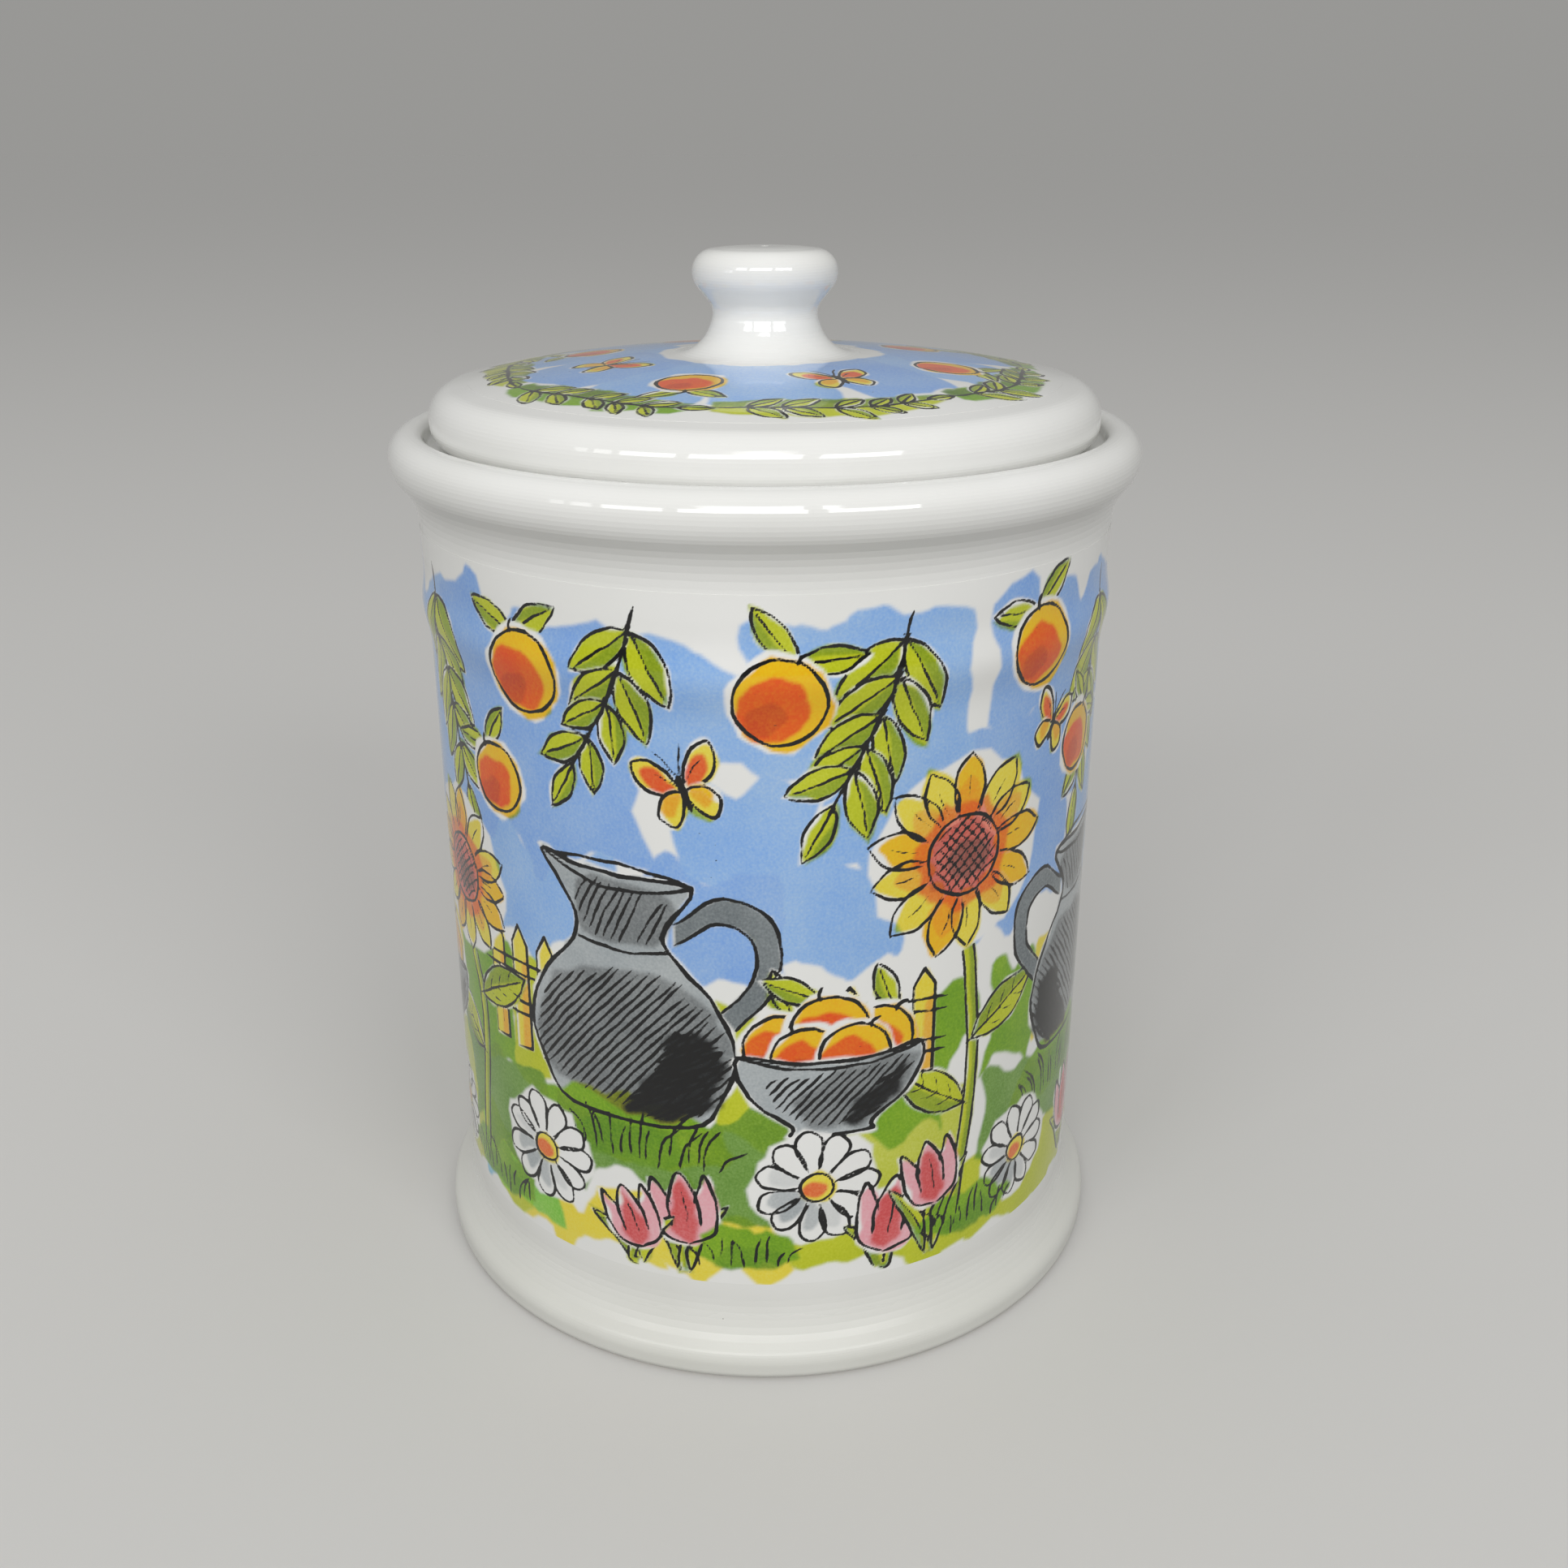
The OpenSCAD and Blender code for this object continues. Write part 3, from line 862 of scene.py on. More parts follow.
# %% Tulip
GROUND_MM = 21.5
TULIP_CUP = curve([(0, -1), (0.62, -0.72), (0.82, 0), (0.72, 0.95), (0.36, 0.45), (0.05, 1.05),
                   (-0.32, 0.42), (-0.74, 0.9), (-0.8, -0.05), (-0.6, -0.74)], 5, True)
TULIP_CORE = curve([(0, -0.95), (0.34, -0.4), (0.26, 0.3), (0, 0.8), (-0.3, 0.2), (-0.4, -0.5)], 5, True)
TULIP_LINES = (
    [(0, -1), (0.66, -0.7), (0.84, 0.05), (0.7, 0.95), (0.42, 0.5), (0.3, 0.2)],
    [(0, -1), (-0.62, -0.72), (-0.82, 0.0), (-0.72, 0.92), (-0.4, 0.45), (-0.3, 0.15)],
    [(-0.38, -0.5), (-0.36, 0.3), (0.03, 1.06), (0.38, 0.3), (0.36, -0.5)],
)


def tulip(sheet, x, y, size=8.0, turn=0.0):
    """A tulip with its stalk and two leaves, from the ground line up."""
    foot = np.array([x + math.sin(turn) * 6 - 1, GROUND_MM])
    for tip in ((x + 9, y + 2), (x - 9.5, y - 1)):
        blade(sheet, *foot, tip)
    stalk(sheet, [(x, y - size), (x - 0.4, y - size - 3), foot], 1.6)
    loop = placed(TULIP_CUP, x, y, turn, size)
    leave_bare(sheet, outgrown(loop, 0.7), 0.7, 0.3)
    wash(sheet, loop + (0.5, -0.3), PINK, 1, 0.8, 0.45)
    wash(sheet, placed(TULIP_CORE, x, y, turn, size), ROSE, 1, 1.4, 0.4, RED_OVER)
    for line in TULIP_LINES:
        pen(sheet, placed(curve(line), x, y, turn, size), 0.8)
    pen(sheet, placed(curve([(0.02, -0.55), (0.06, 0), (0.03, 0.5)]), x, y, turn, size), 0.5)


print(f"tulips stand {GROUND_MM} mm above the table")

# %% [markdown]
# ## Jugs and bowls
# The dark weight of the print is in a few slate-grey things, filled with close pen strokes. Three
# washes, each smaller and darker than the one below it, turn the flat shape, and the hatching over
# them follows the light. All the points of a jug are shares of its height.

# %% Jug
JUG = [(-0.24, 0), (0.24, 0), (0.36, 0.12), (0.42, 0.32), (0.33, 0.54), (0.19, 0.7), (0.17, 0.8),
       (0.27, 0.97), (0, 0.985), (-0.2, 1), (-0.33, 1.02), (-0.2, 0.84), (-0.2, 0.7),
       (-0.34, 0.54), (-0.43, 0.32), (-0.36, 0.12)]
JUG_GRIP = [(0.2, 0.82), (0.38, 0.94), (0.56, 0.84), (0.56, 0.6), (0.4, 0.4)]
JUG_HOLD = [(0.2, 0.74), (0.36, 0.84), (0.48, 0.78), (0.48, 0.62), (0.36, 0.48)]
JUG_BELLY = [(-0.38, 0.14), (0.2, 0.03), (0.4, 0.2), (0.37, 0.44), (0.12, 0.62), (-0.3, 0.52)]
JUG_NECK = [(-0.14, 0.74), (0.13, 0.74), (0.2, 0.92), (-0.16, 0.95)]
JUG_DARK = [(-0.02, 0.03), (0.24, 0.03), (0.36, 0.18), (0.36, 0.34), (0.2, 0.4), (0.1, 0.2)]
JUG_LIP = [(-0.33, 1.02), (-0.05, 0.93), (0.27, 0.97), (0, 1.03), (-0.33, 1.02)]
JUG_BAND = [(-0.2, 0.72), (0, 0.69), (0.19, 0.71)]


def part(shape, x, y, size, steps=5, closed=True):
    """A smooth part of a thing with its foot at x, y. size multiplies the shape both ways."""
    return placed(curve(shape * np.array(size), steps, closed), x, y)


def jug(sheet, x, y, high=46.0, flip=1):
    """A slate-grey jug, its foot at x, y. flip -1 turns it round."""
    size = (flip * high, high)
    belly, neck, dark = (part(shape, x, y, size) for shape in (JUG_BELLY, JUG_NECK, JUG_DARK))
    grip, hold, lip, band = (part(shape, x, y, size, 6, False)
                             for shape in (JUG_GRIP, JUG_HOLD, JUG_LIP, JUG_BAND))
    handle = np.vstack([grip, hold[::-1]])
    leave_bare(sheet, handle, 0.7, 0.2)
    wash(sheet, handle, SLATE, 1, 0.7, 0.2)
    pen(sheet, grip, 0.85)
    pen(sheet, hold, 0.8)
    body = part(JUG, x, y, size, 4)
    leave_bare(sheet, outgrown(body, 0.8), 0.8, 0.4)
    wash(sheet, body, ASH, 1, 0.8, 0.5)
    wash(sheet, belly, SLATE, 1, 1.5, 0.7)
    wash(sheet, dark, COAL, 1, 1.6, 0.6, over=1.0)
    wash(sheet, neck, SLATE, 1, 1.2, 0.5)
    hatch(sheet, belly, 1.45, 0.85 * flip, 0.72)
    hatch(sheet, dark, 1.05, 0.5 * flip, 0.9)
    hatch(sheet, neck, 1.6, 1.1 * flip, 0.62)
    pen(sheet, np.vstack([body, body[:3]]), 1.0)
    pen(sheet, lip, 0.8)
    pen(sheet, band, 0.8)


print("a jug's body has", len(part(JUG, 0, 0, (46, 46), 4)), "corners")

# %% [markdown]
# A bowl's points are shares of its width and height. Its oranges are drawn before it, so its front
# hides their lower halves. The heap gives each orange's place as shares of the bowl, its radius in
# millimetres and how many leaves it has.

# %% Bowl
BOWL = [(-0.5, 1), (-0.44, 0.5), (-0.22, 0.12), (-0.2, 0), (0.2, 0), (0.22, 0.12), (0.44, 0.5),
        (0.5, 1), (0.2, 0.93), (-0.2, 0.93)]
BOWL_SHADE = [(-0.1, 0.1), (0.2, 0.1), (0.42, 0.5), (0.47, 0.9), (0.1, 0.85), (-0.2, 0.45)]
BOWL_DARK = [(0.05, 0.14), (0.2, 0.14), (0.38, 0.5), (0.4, 0.75), (0.2, 0.5)]
BOWL_FRONT = [(-0.36, 0.7), (-0.2, 0.16), (0.2, 0.14), (0.42, 0.55), (0.44, 0.84), (0, 0.82)]
BOWL_LIP = [(-0.5, 1), (-0.2, 0.86), (0.2, 0.86), (0.5, 1)]
HEAP = [(-0.27, 1.12, 7.5, 1), (0.24, 1.14, 7.5, 1), (-0.02, 1.3, 8.0, 1), (-0.14, 0.98, 7.0, 0),
        (0.12, 0.98, 7.2, 0)]


def bowl(sheet, x, y, wide=44.0, high=20.0):
    """A slate bowl heaped with oranges, its foot at x, y."""
    for across, up, radius, leaves in HEAP:
        orange(sheet, x + across * wide, y + up * high, radius, leaves, hand.uniform(-0.7, 0.7))
    body, shade, dark, front = (part(shape, x, y, (wide, high))
                                for shape in (BOWL, BOWL_SHADE, BOWL_DARK, BOWL_FRONT))
    leave_bare(sheet, outgrown(body, 0.8), 0.8)
    wash(sheet, body, ASH, 1, 0.8, 0.4)
    wash(sheet, shade, SLATE, 1, 1.6, 0.6)
    wash(sheet, dark, COAL, 1, 1.6, 0.5, over=1.0)
    hatch(sheet, front, 1.45, 0.8, 0.7)
    hatch(sheet, dark, 1.3, 0.4, 0.75)
    pen(sheet, np.vstack([body, body[:3]]), 0.95)
    pen(sheet, part(BOWL_LIP, x, y, (wide, high), 6, False), 0.75)


print("a bowl holds", len(HEAP), "oranges")

# %% [markdown]
# ## Fence and grass
# A fence fills the ground behind the jugs with upright yellow. Its boards differ a little in height,
# and two rails, each drawn as a pair of lines, tie them together.

# %% Fence
BOARD = [(-0.5, 0), (0.5, 0.02), (0.5, 0.86), (0, 1), (-0.5, 0.86)]
BOARD_SHADE = [(-0.1, 0), (0.5, 0), (0.5, 0.8), (0.1, 0.7)]
BOARD_GRAIN = [(0.06, 0.12), (0.04, 0.55)]
RAIL_LINES = (0.28, 0.38, 0.62, 0.72)


def fence(sheet, x, y, boards=5, high=26.0, gap=7.5, wide=4.6):
    """Yellow fence boards and their two rails."""
    for k in range(boards):
        size = np.array([wide, high * hand.uniform(0.92, 1.05)])
        loop, shade, grain = (placed(shape * size, x + k * gap, y)
                              for shape in (BOARD, BOARD_SHADE, BOARD_GRAIN))
        leave_bare(sheet, outgrown(loop, 0.3), 0.6, 0.2)
        wash(sheet, loop + (0.4, 0), LEMON, 1, 0.6, 0.3)
        wash(sheet, shade, GOLD, 1, 0.8, 0.3)
        pen(sheet, np.vstack([loop, loop[:1]]), 0.8)
        pen(sheet, grain, 0.48)
    start = x - gap * 0.7
    end = x + (boards - 0.3) * gap
    for rail in RAIL_LINES:
        level = y + high * rail
        pen(sheet, curve([(start, level), ((start + end) / 2, level + 0.7), (end, level - 0.2)]), 0.78)


print(f"{len(RAIL_LINES)} lines make a fence's two rails")

# %% [markdown]
# A tuft of grass is a mound of two greens with a fan of blades over it. The blades lean outwards
# more the further they stand from the middle.

# %% Grass
TUFT = [(-0.5, 0), (-0.42, 0.7), (-0.1, 1), (0.3, 0.85), (0.5, 0.2), (0.2, -0.15)]
BLADE_EVERY_MM = 2.1


def grass(sheet, x, y, wide=22.0, high=12.0):
    """A tuft of grass: two patches of green, and a fan of loose blades over them."""
    loop = part(TUFT, x, y, (wide, high), 6)
    cover(sheet, loop, LEAF, 1, 1.0, 0.8)
    cover(sheet, placed(loop - (x, y), x + 1, y - 1, 0, 0.6), MOSS, 0.9, 1.2, 0.6)
    count = int(wide / BLADE_EVERY_MM)
    for k in range(count):
        share = (k + hand.uniform(-0.3, 0.3)) / (count - 1) - 0.5
        foot = np.array([x + share * wide * 0.85, y - high * 0.1 + hand.normal(0, 0.9)])
        rise = high * hand.uniform(0.5, 0.95) * (1 - 1.2 * share ** 2)
        lean = share * 1.1 + hand.normal(0, 0.22)
        bend = foot + (rise * lean * 0.25, rise * 0.6)
        tip = foot + (rise * lean, rise)
        pen(sheet, curve([foot, bend, tip], 4), 0.62)


print(f"grass has a blade every {BLADE_EVERY_MM} mm")

# %% [markdown]
# ## Sky and ground
# Behind the motifs lie broad brush strokes, blue above and green below. They are put down like
# patches: some overlap, and some leave a bare gap. Rows of strokes of random width give that, and
# their ends stay ragged, which makes the loose upper and lower edge of the print.

# %% Broad strokes
WALL_RADIUS_MM = 69.0
GIRTH_MM = 2 * math.pi * WALL_RADIUS_MM
BOTTOM_STRAYS_MM = (-5, 4)
TOP_STRAYS_MM = (-4, 3)
GAPS_MM = (-2.5, 0.4, 2.6, 6.0)  # less than nothing is an overlap
GAP_CHANCES = (0.3, 0.25, 0.25, 0.2)


def broad_stroke(sheet, x, y, wide, high, colour, strength=1.0, lean=0.0, ragged=1.5):
    """One stroke of a broad brush: a block with uneven edges."""
    w, h = wide / 2, high / 2
    rows = max(3, int(high / 6))
    columns = max(3, int(wide / 6))
    points = [(-w + hand.normal(0, ragged * 0.5), v) for v in np.linspace(-h, h, rows)]
    points += [(u, h + hand.normal(0, ragged * 1.2)) for u in np.linspace(-w * 0.6, w * 0.6, columns)]
    points += [(w + hand.normal(0, ragged * 0.5), v) for v in np.linspace(h, -h, rows)]
    points += [(u, -h + hand.normal(0, ragged * 1.2)) for u in np.linspace(w * 0.6, -w * 0.6, columns)]
    cover(sheet, placed(curve(points, 4, True), x, y, lean), colour, strength)


def patchwork(sheet, rows, colours, strength=1.0, lean=0.04):
    """Rows of broad strokes right round the jar. A row is its low and high edge and its widths."""
    for low, high, narrow, wide in rows:
        x = -GIRTH_MM / 2 + hand.uniform(0, 10)
        while x < GIRTH_MM / 2 - 6:
            w = hand.uniform(narrow, wide)
            bottom = low + hand.uniform(*BOTTOM_STRAYS_MM)
            top = high + hand.uniform(*TOP_STRAYS_MM)
            middle = (bottom + top) / 2
            colour = colours[int(hand.integers(len(colours)))]
            tilt = hand.normal(0, lean)
            broad_stroke(sheet, x + w / 2, middle, w, top - bottom, colour, strength, tilt, 2.2)
            x += w + hand.choice(GAPS_MM, p=GAP_CHANCES)


print(f"the jar's girth is {GIRTH_MM:.0f} mm")

# %% [markdown]
# ## The garden round the jar
# The layout is a kitchen garden that runs right round: fruit and sprigs in the sky, jugs, bowls and
# sunflowers in the middle, daisies and tulips in front. Every motif's place is given as
# millimetres along the girth from the middle of the front and millimetres above the table. What
# stands in front is drawn later, because each motif clears its own ground.

# %% The ground of the jar's print
SKY_ROWS = [(130, 155, 20, 46), (108, 132, 26, 58), (88, 110, 18, 42)]
NEAR_ROWS = [(22, 38, 24, 44)]
GRASS_ROWS = [(37, 58, 20, 40)]
FAR_ROWS = [(56, 80, 14, 26)]
PONDS = (-205, -60, 118)


def draw_ground(sheet):
    """Sky, meadows and ponds."""
    patchwork(sheet, SKY_ROWS, [SKY, SKY, DEEP_SKY])
    patchwork(sheet, NEAR_ROWS, [LIME, LIME, LEMON])
    patchwork(sheet, GRASS_ROWS, [LEAF, LIME, MOSS, LIME], 0.95, 0.08)
    patchwork(sheet, FAR_ROWS, [LEMON, LIME, LEMON, LEAF], 1.0, 0.1)
    for x in PONDS:
        broad_stroke(sheet, x, 31, 30, 18, POND, 1.0, 0.05, 1.8)


print(f"{len(SKY_ROWS)} rows of sky")

# %% [markdown]
# Sprigs, oranges and butterflies hang or fly in the sky. A hanging sprig is given by its top, its
# length, how far it leans and the length of its leaves. An orange is given by its place, its radius
# and the lean of its stalk, and a butterfly by its place, its size and its turn.

# %% What hangs in the sky
HANGING = ((-78, 156, 44, 0.25, 17), (26, 156, 36, -0.4, 17), (-22, 157, 32, -0.45, 15),
           (82, 155, 46, -0.15, 17), (-146, 156, 40, 0.3, 16), (-196, 155, 44, -0.2, 17),
           (168, 156, 46, -0.25, 17), (122, 156, 34, 0.35, 15))
LONG_SPRIG_MM = 35
ORANGES = ((-46, 142, 8.2, 0.3), (3, 141, 8.4, -0.4), (-56, 119, 7.2, 0.5), (56, 145, 8.0, 0.2),
           (74, 122, 7.0, -0.5), (144, 141, 8.0, 0.2), (112, 126, 7.2, -0.3), (196, 142, 8.0, 0.4),
           (-118, 143, 8.2, -0.2), (-152, 120, 7.2, 0.3), (-172, 141, 7.4, 0.1))
BUTTERFLIES = ((-14, 124, 8, 0.35), (62, 128, 6.5, -0.4), (186, 122, 7.5, 0.3), (-100, 130, 8, -0.3),
               (-210, 126, 7, 0.4))


def draw_sky(sheet):
    """Sprigs, oranges and butterflies."""
    for x, y, long, lean, leaf_long in HANGING:
        hang = [(x, y), (x + lean * long * 0.3, y - long * 0.45), (x + lean * long, y - long)]
        sprig(sheet, curve(hang, 10), 5 if long > LONG_SPRIG_MM else 4, leaf_long)
    for x, y, radius, turn in ORANGES:
        orange(sheet, x, y, radius, 2, turn)
    for x, y, size, turn in BUTTERFLIES:
        butterfly(sheet, x, y, size, turn)


print(len(HANGING), "sprigs,", len(ORANGES), "oranges and", len(BUTTERFLIES), "butterflies")

# %% [markdown]
# In the middle stand the fences, the sunflowers' stalks, the jugs, the sunflowers' heads and the
# bowls, in this order, so that a jug hides a stalk and a head hides a handle. After its place, a
# fence has its number of boards, a jug its height and which way it faces, a sunflower its radius,
# and a bowl its width and height. A stalk is given by its place, its top and how far it bends.

# %% What stands in the garden
FENCES = ((-60, 62, 4), (16, 61, 3), (100, 60, 5), (-150, 61, 6), (192, 60, 4))
STALKS = ((40, 96, 3), (-72, 78, 4), (138, 84, -3), (-124, 88, -3), (-186, 84, 3))
STALK_LEAVES = ((-0.5, 68, 0.5, 20), (-1.5, 54, 2.55, 19))  # aside, height, turn and length
JUGS = ((-27, 55, 52, 1), (80, 55, 46, -1), (-160, 56, 44, 1))
SUNFLOWERS = ((39, 108, 19.5), (-74, 94, 17.5), (137, 98, 18.5), (-123, 100, 18.5), (-189, 97, 17.5))
BOWLS = ((13, 54, 36, 17), (-98, 50, 38, 18), (174, 55, 42, 19))


def draw_middle(sheet):
    """Fences, sunflowers, jugs and bowls."""
    for x, y, boards in FENCES:
        fence(sheet, x, y, boards)
    for x, top, bend in STALKS:
        stalk(sheet, [(x, top), (x + bend, 62), (x - 1, 26)])
        for aside, height, turn, long in STALK_LEAVES:
            leaf(sheet, x + bend + aside, height, turn, long, 9)
    for x, y, high, flip in JUGS:
        jug(sheet, x, y, high, flip)
    for x, y, radius in SUNFLOWERS:
        sunflower(sheet, x, y, radius)
    for x, y, wide, high in BOWLS:
        bowl(sheet, x, y, wide, high)


print(len(JUGS), "jugs,", len(BOWLS), "bowls and", len(SUNFLOWERS), "sunflowers")

# %% [markdown]
# In front, tufts of grass hide the feet of the jugs. Daisies and tulips stand before them, and small
# tufts close the lower edge. After its place, a tuft has its width and height, a daisy its radius,
# and a tulip its size and its lean.

# %% The foreground, and the whole garden
TUFTS = ((-28, 47, 44, 13), (76, 46, 38, 12), (176, 46, 40, 12), (-158, 47, 38, 12), (114, 45, 28, 11))
DAISIES = ((-48, 41, 12), (10, 42, 12.5), (58, 36, 11), (-88, 33, 10), (100, 34, 11),
           (158, 36, 11.5), (206, 40, 12), (-136, 34, 11), (-168, 37, 11.5))
TULIPS = ((-16, 36, 8, 0.15), (-27, 32, 7, 0.35), (25, 33, 8.5, -0.12), (34, 40, 7.5, 0.2),
          (84, 35, 8, 0.1), (128, 34, 8, -0.2), (188, 34, 8, 0.15), (-110, 35, 8, -0.1),
          (-198, 34, 8, 0.1))
LOW_TUFTS = ((44, 25, 24, 8), (-66, 25, 28, 9), (-4, 25, 20, 8), (144, 25, 24, 8), (-152, 26, 26, 8),
             (210, 25, 22, 8))


def draw_foreground(sheet):
    """Grass, daisies and tulips."""
    for x, y, wide, high in TUFTS:
        grass(sheet, x, y, wide, high)
    for x, y, radius in DAISIES:
        daisy(sheet, x, y, radius)
    for x, y, size, turn in TULIPS:
        tulip(sheet, x, y, size, turn)
    for x, y, wide, high in LOW_TUFTS:
        grass(sheet, x, y, wide, high)


def draw_garden(sheet):
    """The whole print of the jar, from the back of the picture to its front."""
    draw_ground(sheet)
    draw_sky(sheet)
    draw_middle(sheet)
    draw_foreground(sheet)


print(len(DAISIES), "daisies and", len(TULIPS), "tulips")

# %% [markdown]
# ## The ring on the lid
# The lid repeats the jar's motifs in a ring: blue strokes round the knob with oranges and
# butterflies on them, and a garland of sprigs outside. The lid is nearly flat, so it is drawn as
# seen from above, in plain x and y.

# %% Strokes and garland on the lid
STROKES_ON_LID = 11
FIRST_STROKE_AT, FIRST_SPRIG_AT = 0.2, 0.05  # bearings in radians
STROKE_RADIUS_MM = (33.0, 35.5)
STROKE_WIDE_MM, STROKE_DEEP_MM = (20, 24), (26, 29)
BARE_ROUND_KNOB_MM = 19.4
GARLAND_SPRIGS = 7
GARLAND_RADIUS_MM = 51.3
GARLAND_WIDE_MM = 9.5
GARLAND_SWAY_MM, SWAYS_ROUND = 0.7, 9
SPRIG_ARC = np.linspace(0, 0.84, 15)
SPRIG_SWELL = np.sin(np.linspace(0.15, 0.92, 15) * math.pi)[:, None] ** 0.7
GARLAND_LEAF_MM = 9.3


def draw_blue_ring(sheet):
    """Blue strokes round the bare place in which the knob stands."""
    for k in range(STROKES_ON_LID):
        angle = 2 * math.pi * k / STROKES_ON_LID + FIRST_STROKE_AT
        radius = hand.uniform(*STROKE_RADIUS_MM)
        across = angle + math.pi / 2 + hand.normal(0, 0.12)
        x, y = radius * math.cos(angle), radius * math.sin(angle)
        colour = SKY if k % 3 else DEEP_SKY
        wide, deep = hand.uniform(*STROKE_WIDE_MM), hand.uniform(*STROKE_DEEP_MM)
        broad_stroke(sheet, x, y, wide, deep, colour, 1, across, 1.4)
    leave_bare(sheet, oval(0, 0, BARE_ROUND_KNOB_MM), 1.0, 1.0)


def draw_garland(sheet):
    """Sprigs one behind the other, each on a two-tone ribbon of green."""
    for k in range(GARLAND_SPRIGS):
        angle = 2 * math.pi * k / GARLAND_SPRIGS + FIRST_SPRIG_AT + SPRIG_ARC
        radius = GARLAND_RADIUS_MM + GARLAND_SWAY_MM * np.sin(angle * SWAYS_ROUND)
        line = np.stack([radius * np.cos(angle), radius * np.sin(angle)], 1)
        left, right = ribbon(line, GARLAND_WIDE_MM * SPRIG_SWELL)
        wash(sheet, np.vstack([left, right[::-1]]), LIME if k % 2 else LEAF, 1, 0.9, 0.6)
        wash(sheet, np.vstack([line, right[::-1]]), LEAF if k % 2 else MOSS, 1, 0.9, 0.6)
        sprig(sheet, line, 5, GARLAND_LEAF_MM)


print(f"{GARLAND_SPRIGS} sprigs at {GARLAND_RADIUS_MM} mm from the knob's axis")

# %% [markdown]
# Oranges and butterflies sit on the blue. Each is given by its bearing in radians, its distance
# from the axis and its size. The stalks point outwards and the butterflies fly towards the knob.

# %% Compose the lid's print
ON_THE_BLUE = ((-1.95, 36, 6.2), (-1.15, 34, 5.8), (-0.35, 37, 6.2), (0.5, 34, 5.8), (1.3, 37, 6.0),
               (2.1, 33, 5.8), (2.85, 37, 5.8), (-2.75, 33, 5.8))


def draw_ring(sheet):
    """The whole print of the lid."""
    draw_blue_ring(sheet)
    draw_garland(sheet)
    for k, (angle, radius, size) in enumerate(ON_THE_BLUE):
        x, y = radius * math.cos(angle), radius * math.sin(angle)
        if k % 3 == 1:
            butterfly(sheet, x, y, size * 1.25, angle + math.pi / 2)
        else:
            orange(sheet, x, y, size, 2, angle - math.pi / 2 + 0.3)


print(len(ON_THE_BLUE), "motifs on the blue")

# %% [markdown]
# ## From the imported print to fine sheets
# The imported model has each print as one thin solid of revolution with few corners, which is right
# for fitting and weighing but can't hold a drawing. So the outline of that solid is read from its
# own mesh, and the print is spun again from it on a grid that is finer than the thinnest stroke.
# Each print is made as four sheets round the piece, as large wraps are often cut.
# A sheet is closed: a fine front, a coarse back on the ware and narrow sides. It thins out towards
# the edges of the print, so that no step shows there. The sheets' normals are worked out from the
# outline and not from the faces, so the gloss runs over the joints between them.

# %% Outline of a thin solid of revolution
SAME_ROW_MM = 0.01


def outline_of(node, axis):
    """Where a thin turned solid lies, by height (axis 1) or by radius (axis 0), in metres.

    Returns the values along that axis with the other one's values on the inner and outer face.
    """
    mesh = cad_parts[node].data
    corners = np.empty(len(mesh.vertices) * 3)
    mesh.vertices.foreach_get("co", corners)
    x, y, z = corners.reshape(-1, 3).T
    points = np.stack([np.hypot(x, y), z], 1)
    along = (points[:, axis] / (SAME_ROW_MM * MM)).round().astype(int)
    keys = np.unique(along)
    inner = [points[along == key, 1 - axis].min() for key in keys]
    outer = [points[along == key, 1 - axis].max() for key in keys]
    return keys * SAME_ROW_MM * MM, np.array(inner), np.array(outer)


def smoothed(values, span):
    """Values averaged with their neighbours up to span away. Both ends stay as they are."""
    before = 2 * values[0] - values[span:0:-1]
    after = 2 * values[-1] - values[-2:-span - 2:-1]
    padded = np.r_[before, values, after]
    kernel = np.ones(2 * span + 1) / (2 * span + 1)
    return np.convolve(padded, kernel, "valid")


wall = outline_of("jar_print", 1)
dome = outline_of("lid_print", 0)
print(f"jar print from {wall[0][0] / MM:.1f} to {wall[0][-1] / MM:.1f} mm high")
print(f"lid print from {dome[0][0] / MM:.1f} to {dome[0][-1] / MM:.1f} mm from the axis")

# %% [markdown]
# A sheet's corners are numbered in rows, first the front and then the back, so that faces and
# attributes can be written as whole arrays, which is what keeps hundreds of thousands of corners
# quick. The back needs few rows where the wall is straight, but it has to follow the bead, or it
# would come out through the front there. So a row is kept wherever a straight line from the last
# one would stray. Where the back skips rows, the ends are faces with many corners.

# %% Corners and faces of a sheet
BACK_STRAYS_MM = 0.02
MOST_ROWS_APART = 32


def rows_to_keep(radius, height):
    """The rows that a coarse back needs to follow an outline."""
    kept = [0]
    for row in range(2, len(radius)):
        span = np.arange(kept[-1], row + 1)
        ends = span[[0, -1]]
        strays = max(abs(np.interp(span, ends, line[ends]) - line[span]).max()
                     for line in (radius, height))
        if strays > BACK_STRAYS_MM * MM or len(span) > MOST_ROWS_APART:
            kept.append(row - 1)
    return [*kept, len(radius) - 1]


def spun(angle, radius, height):
    """Points at these angles, radii and heights, as an array with x, y and z last."""
    angle, radius, height = np.broadcast_arrays(angle[:, None], radius[None], height[None])
    return np.stack([radius * np.sin(angle), -radius * np.cos(angle), height], -1)


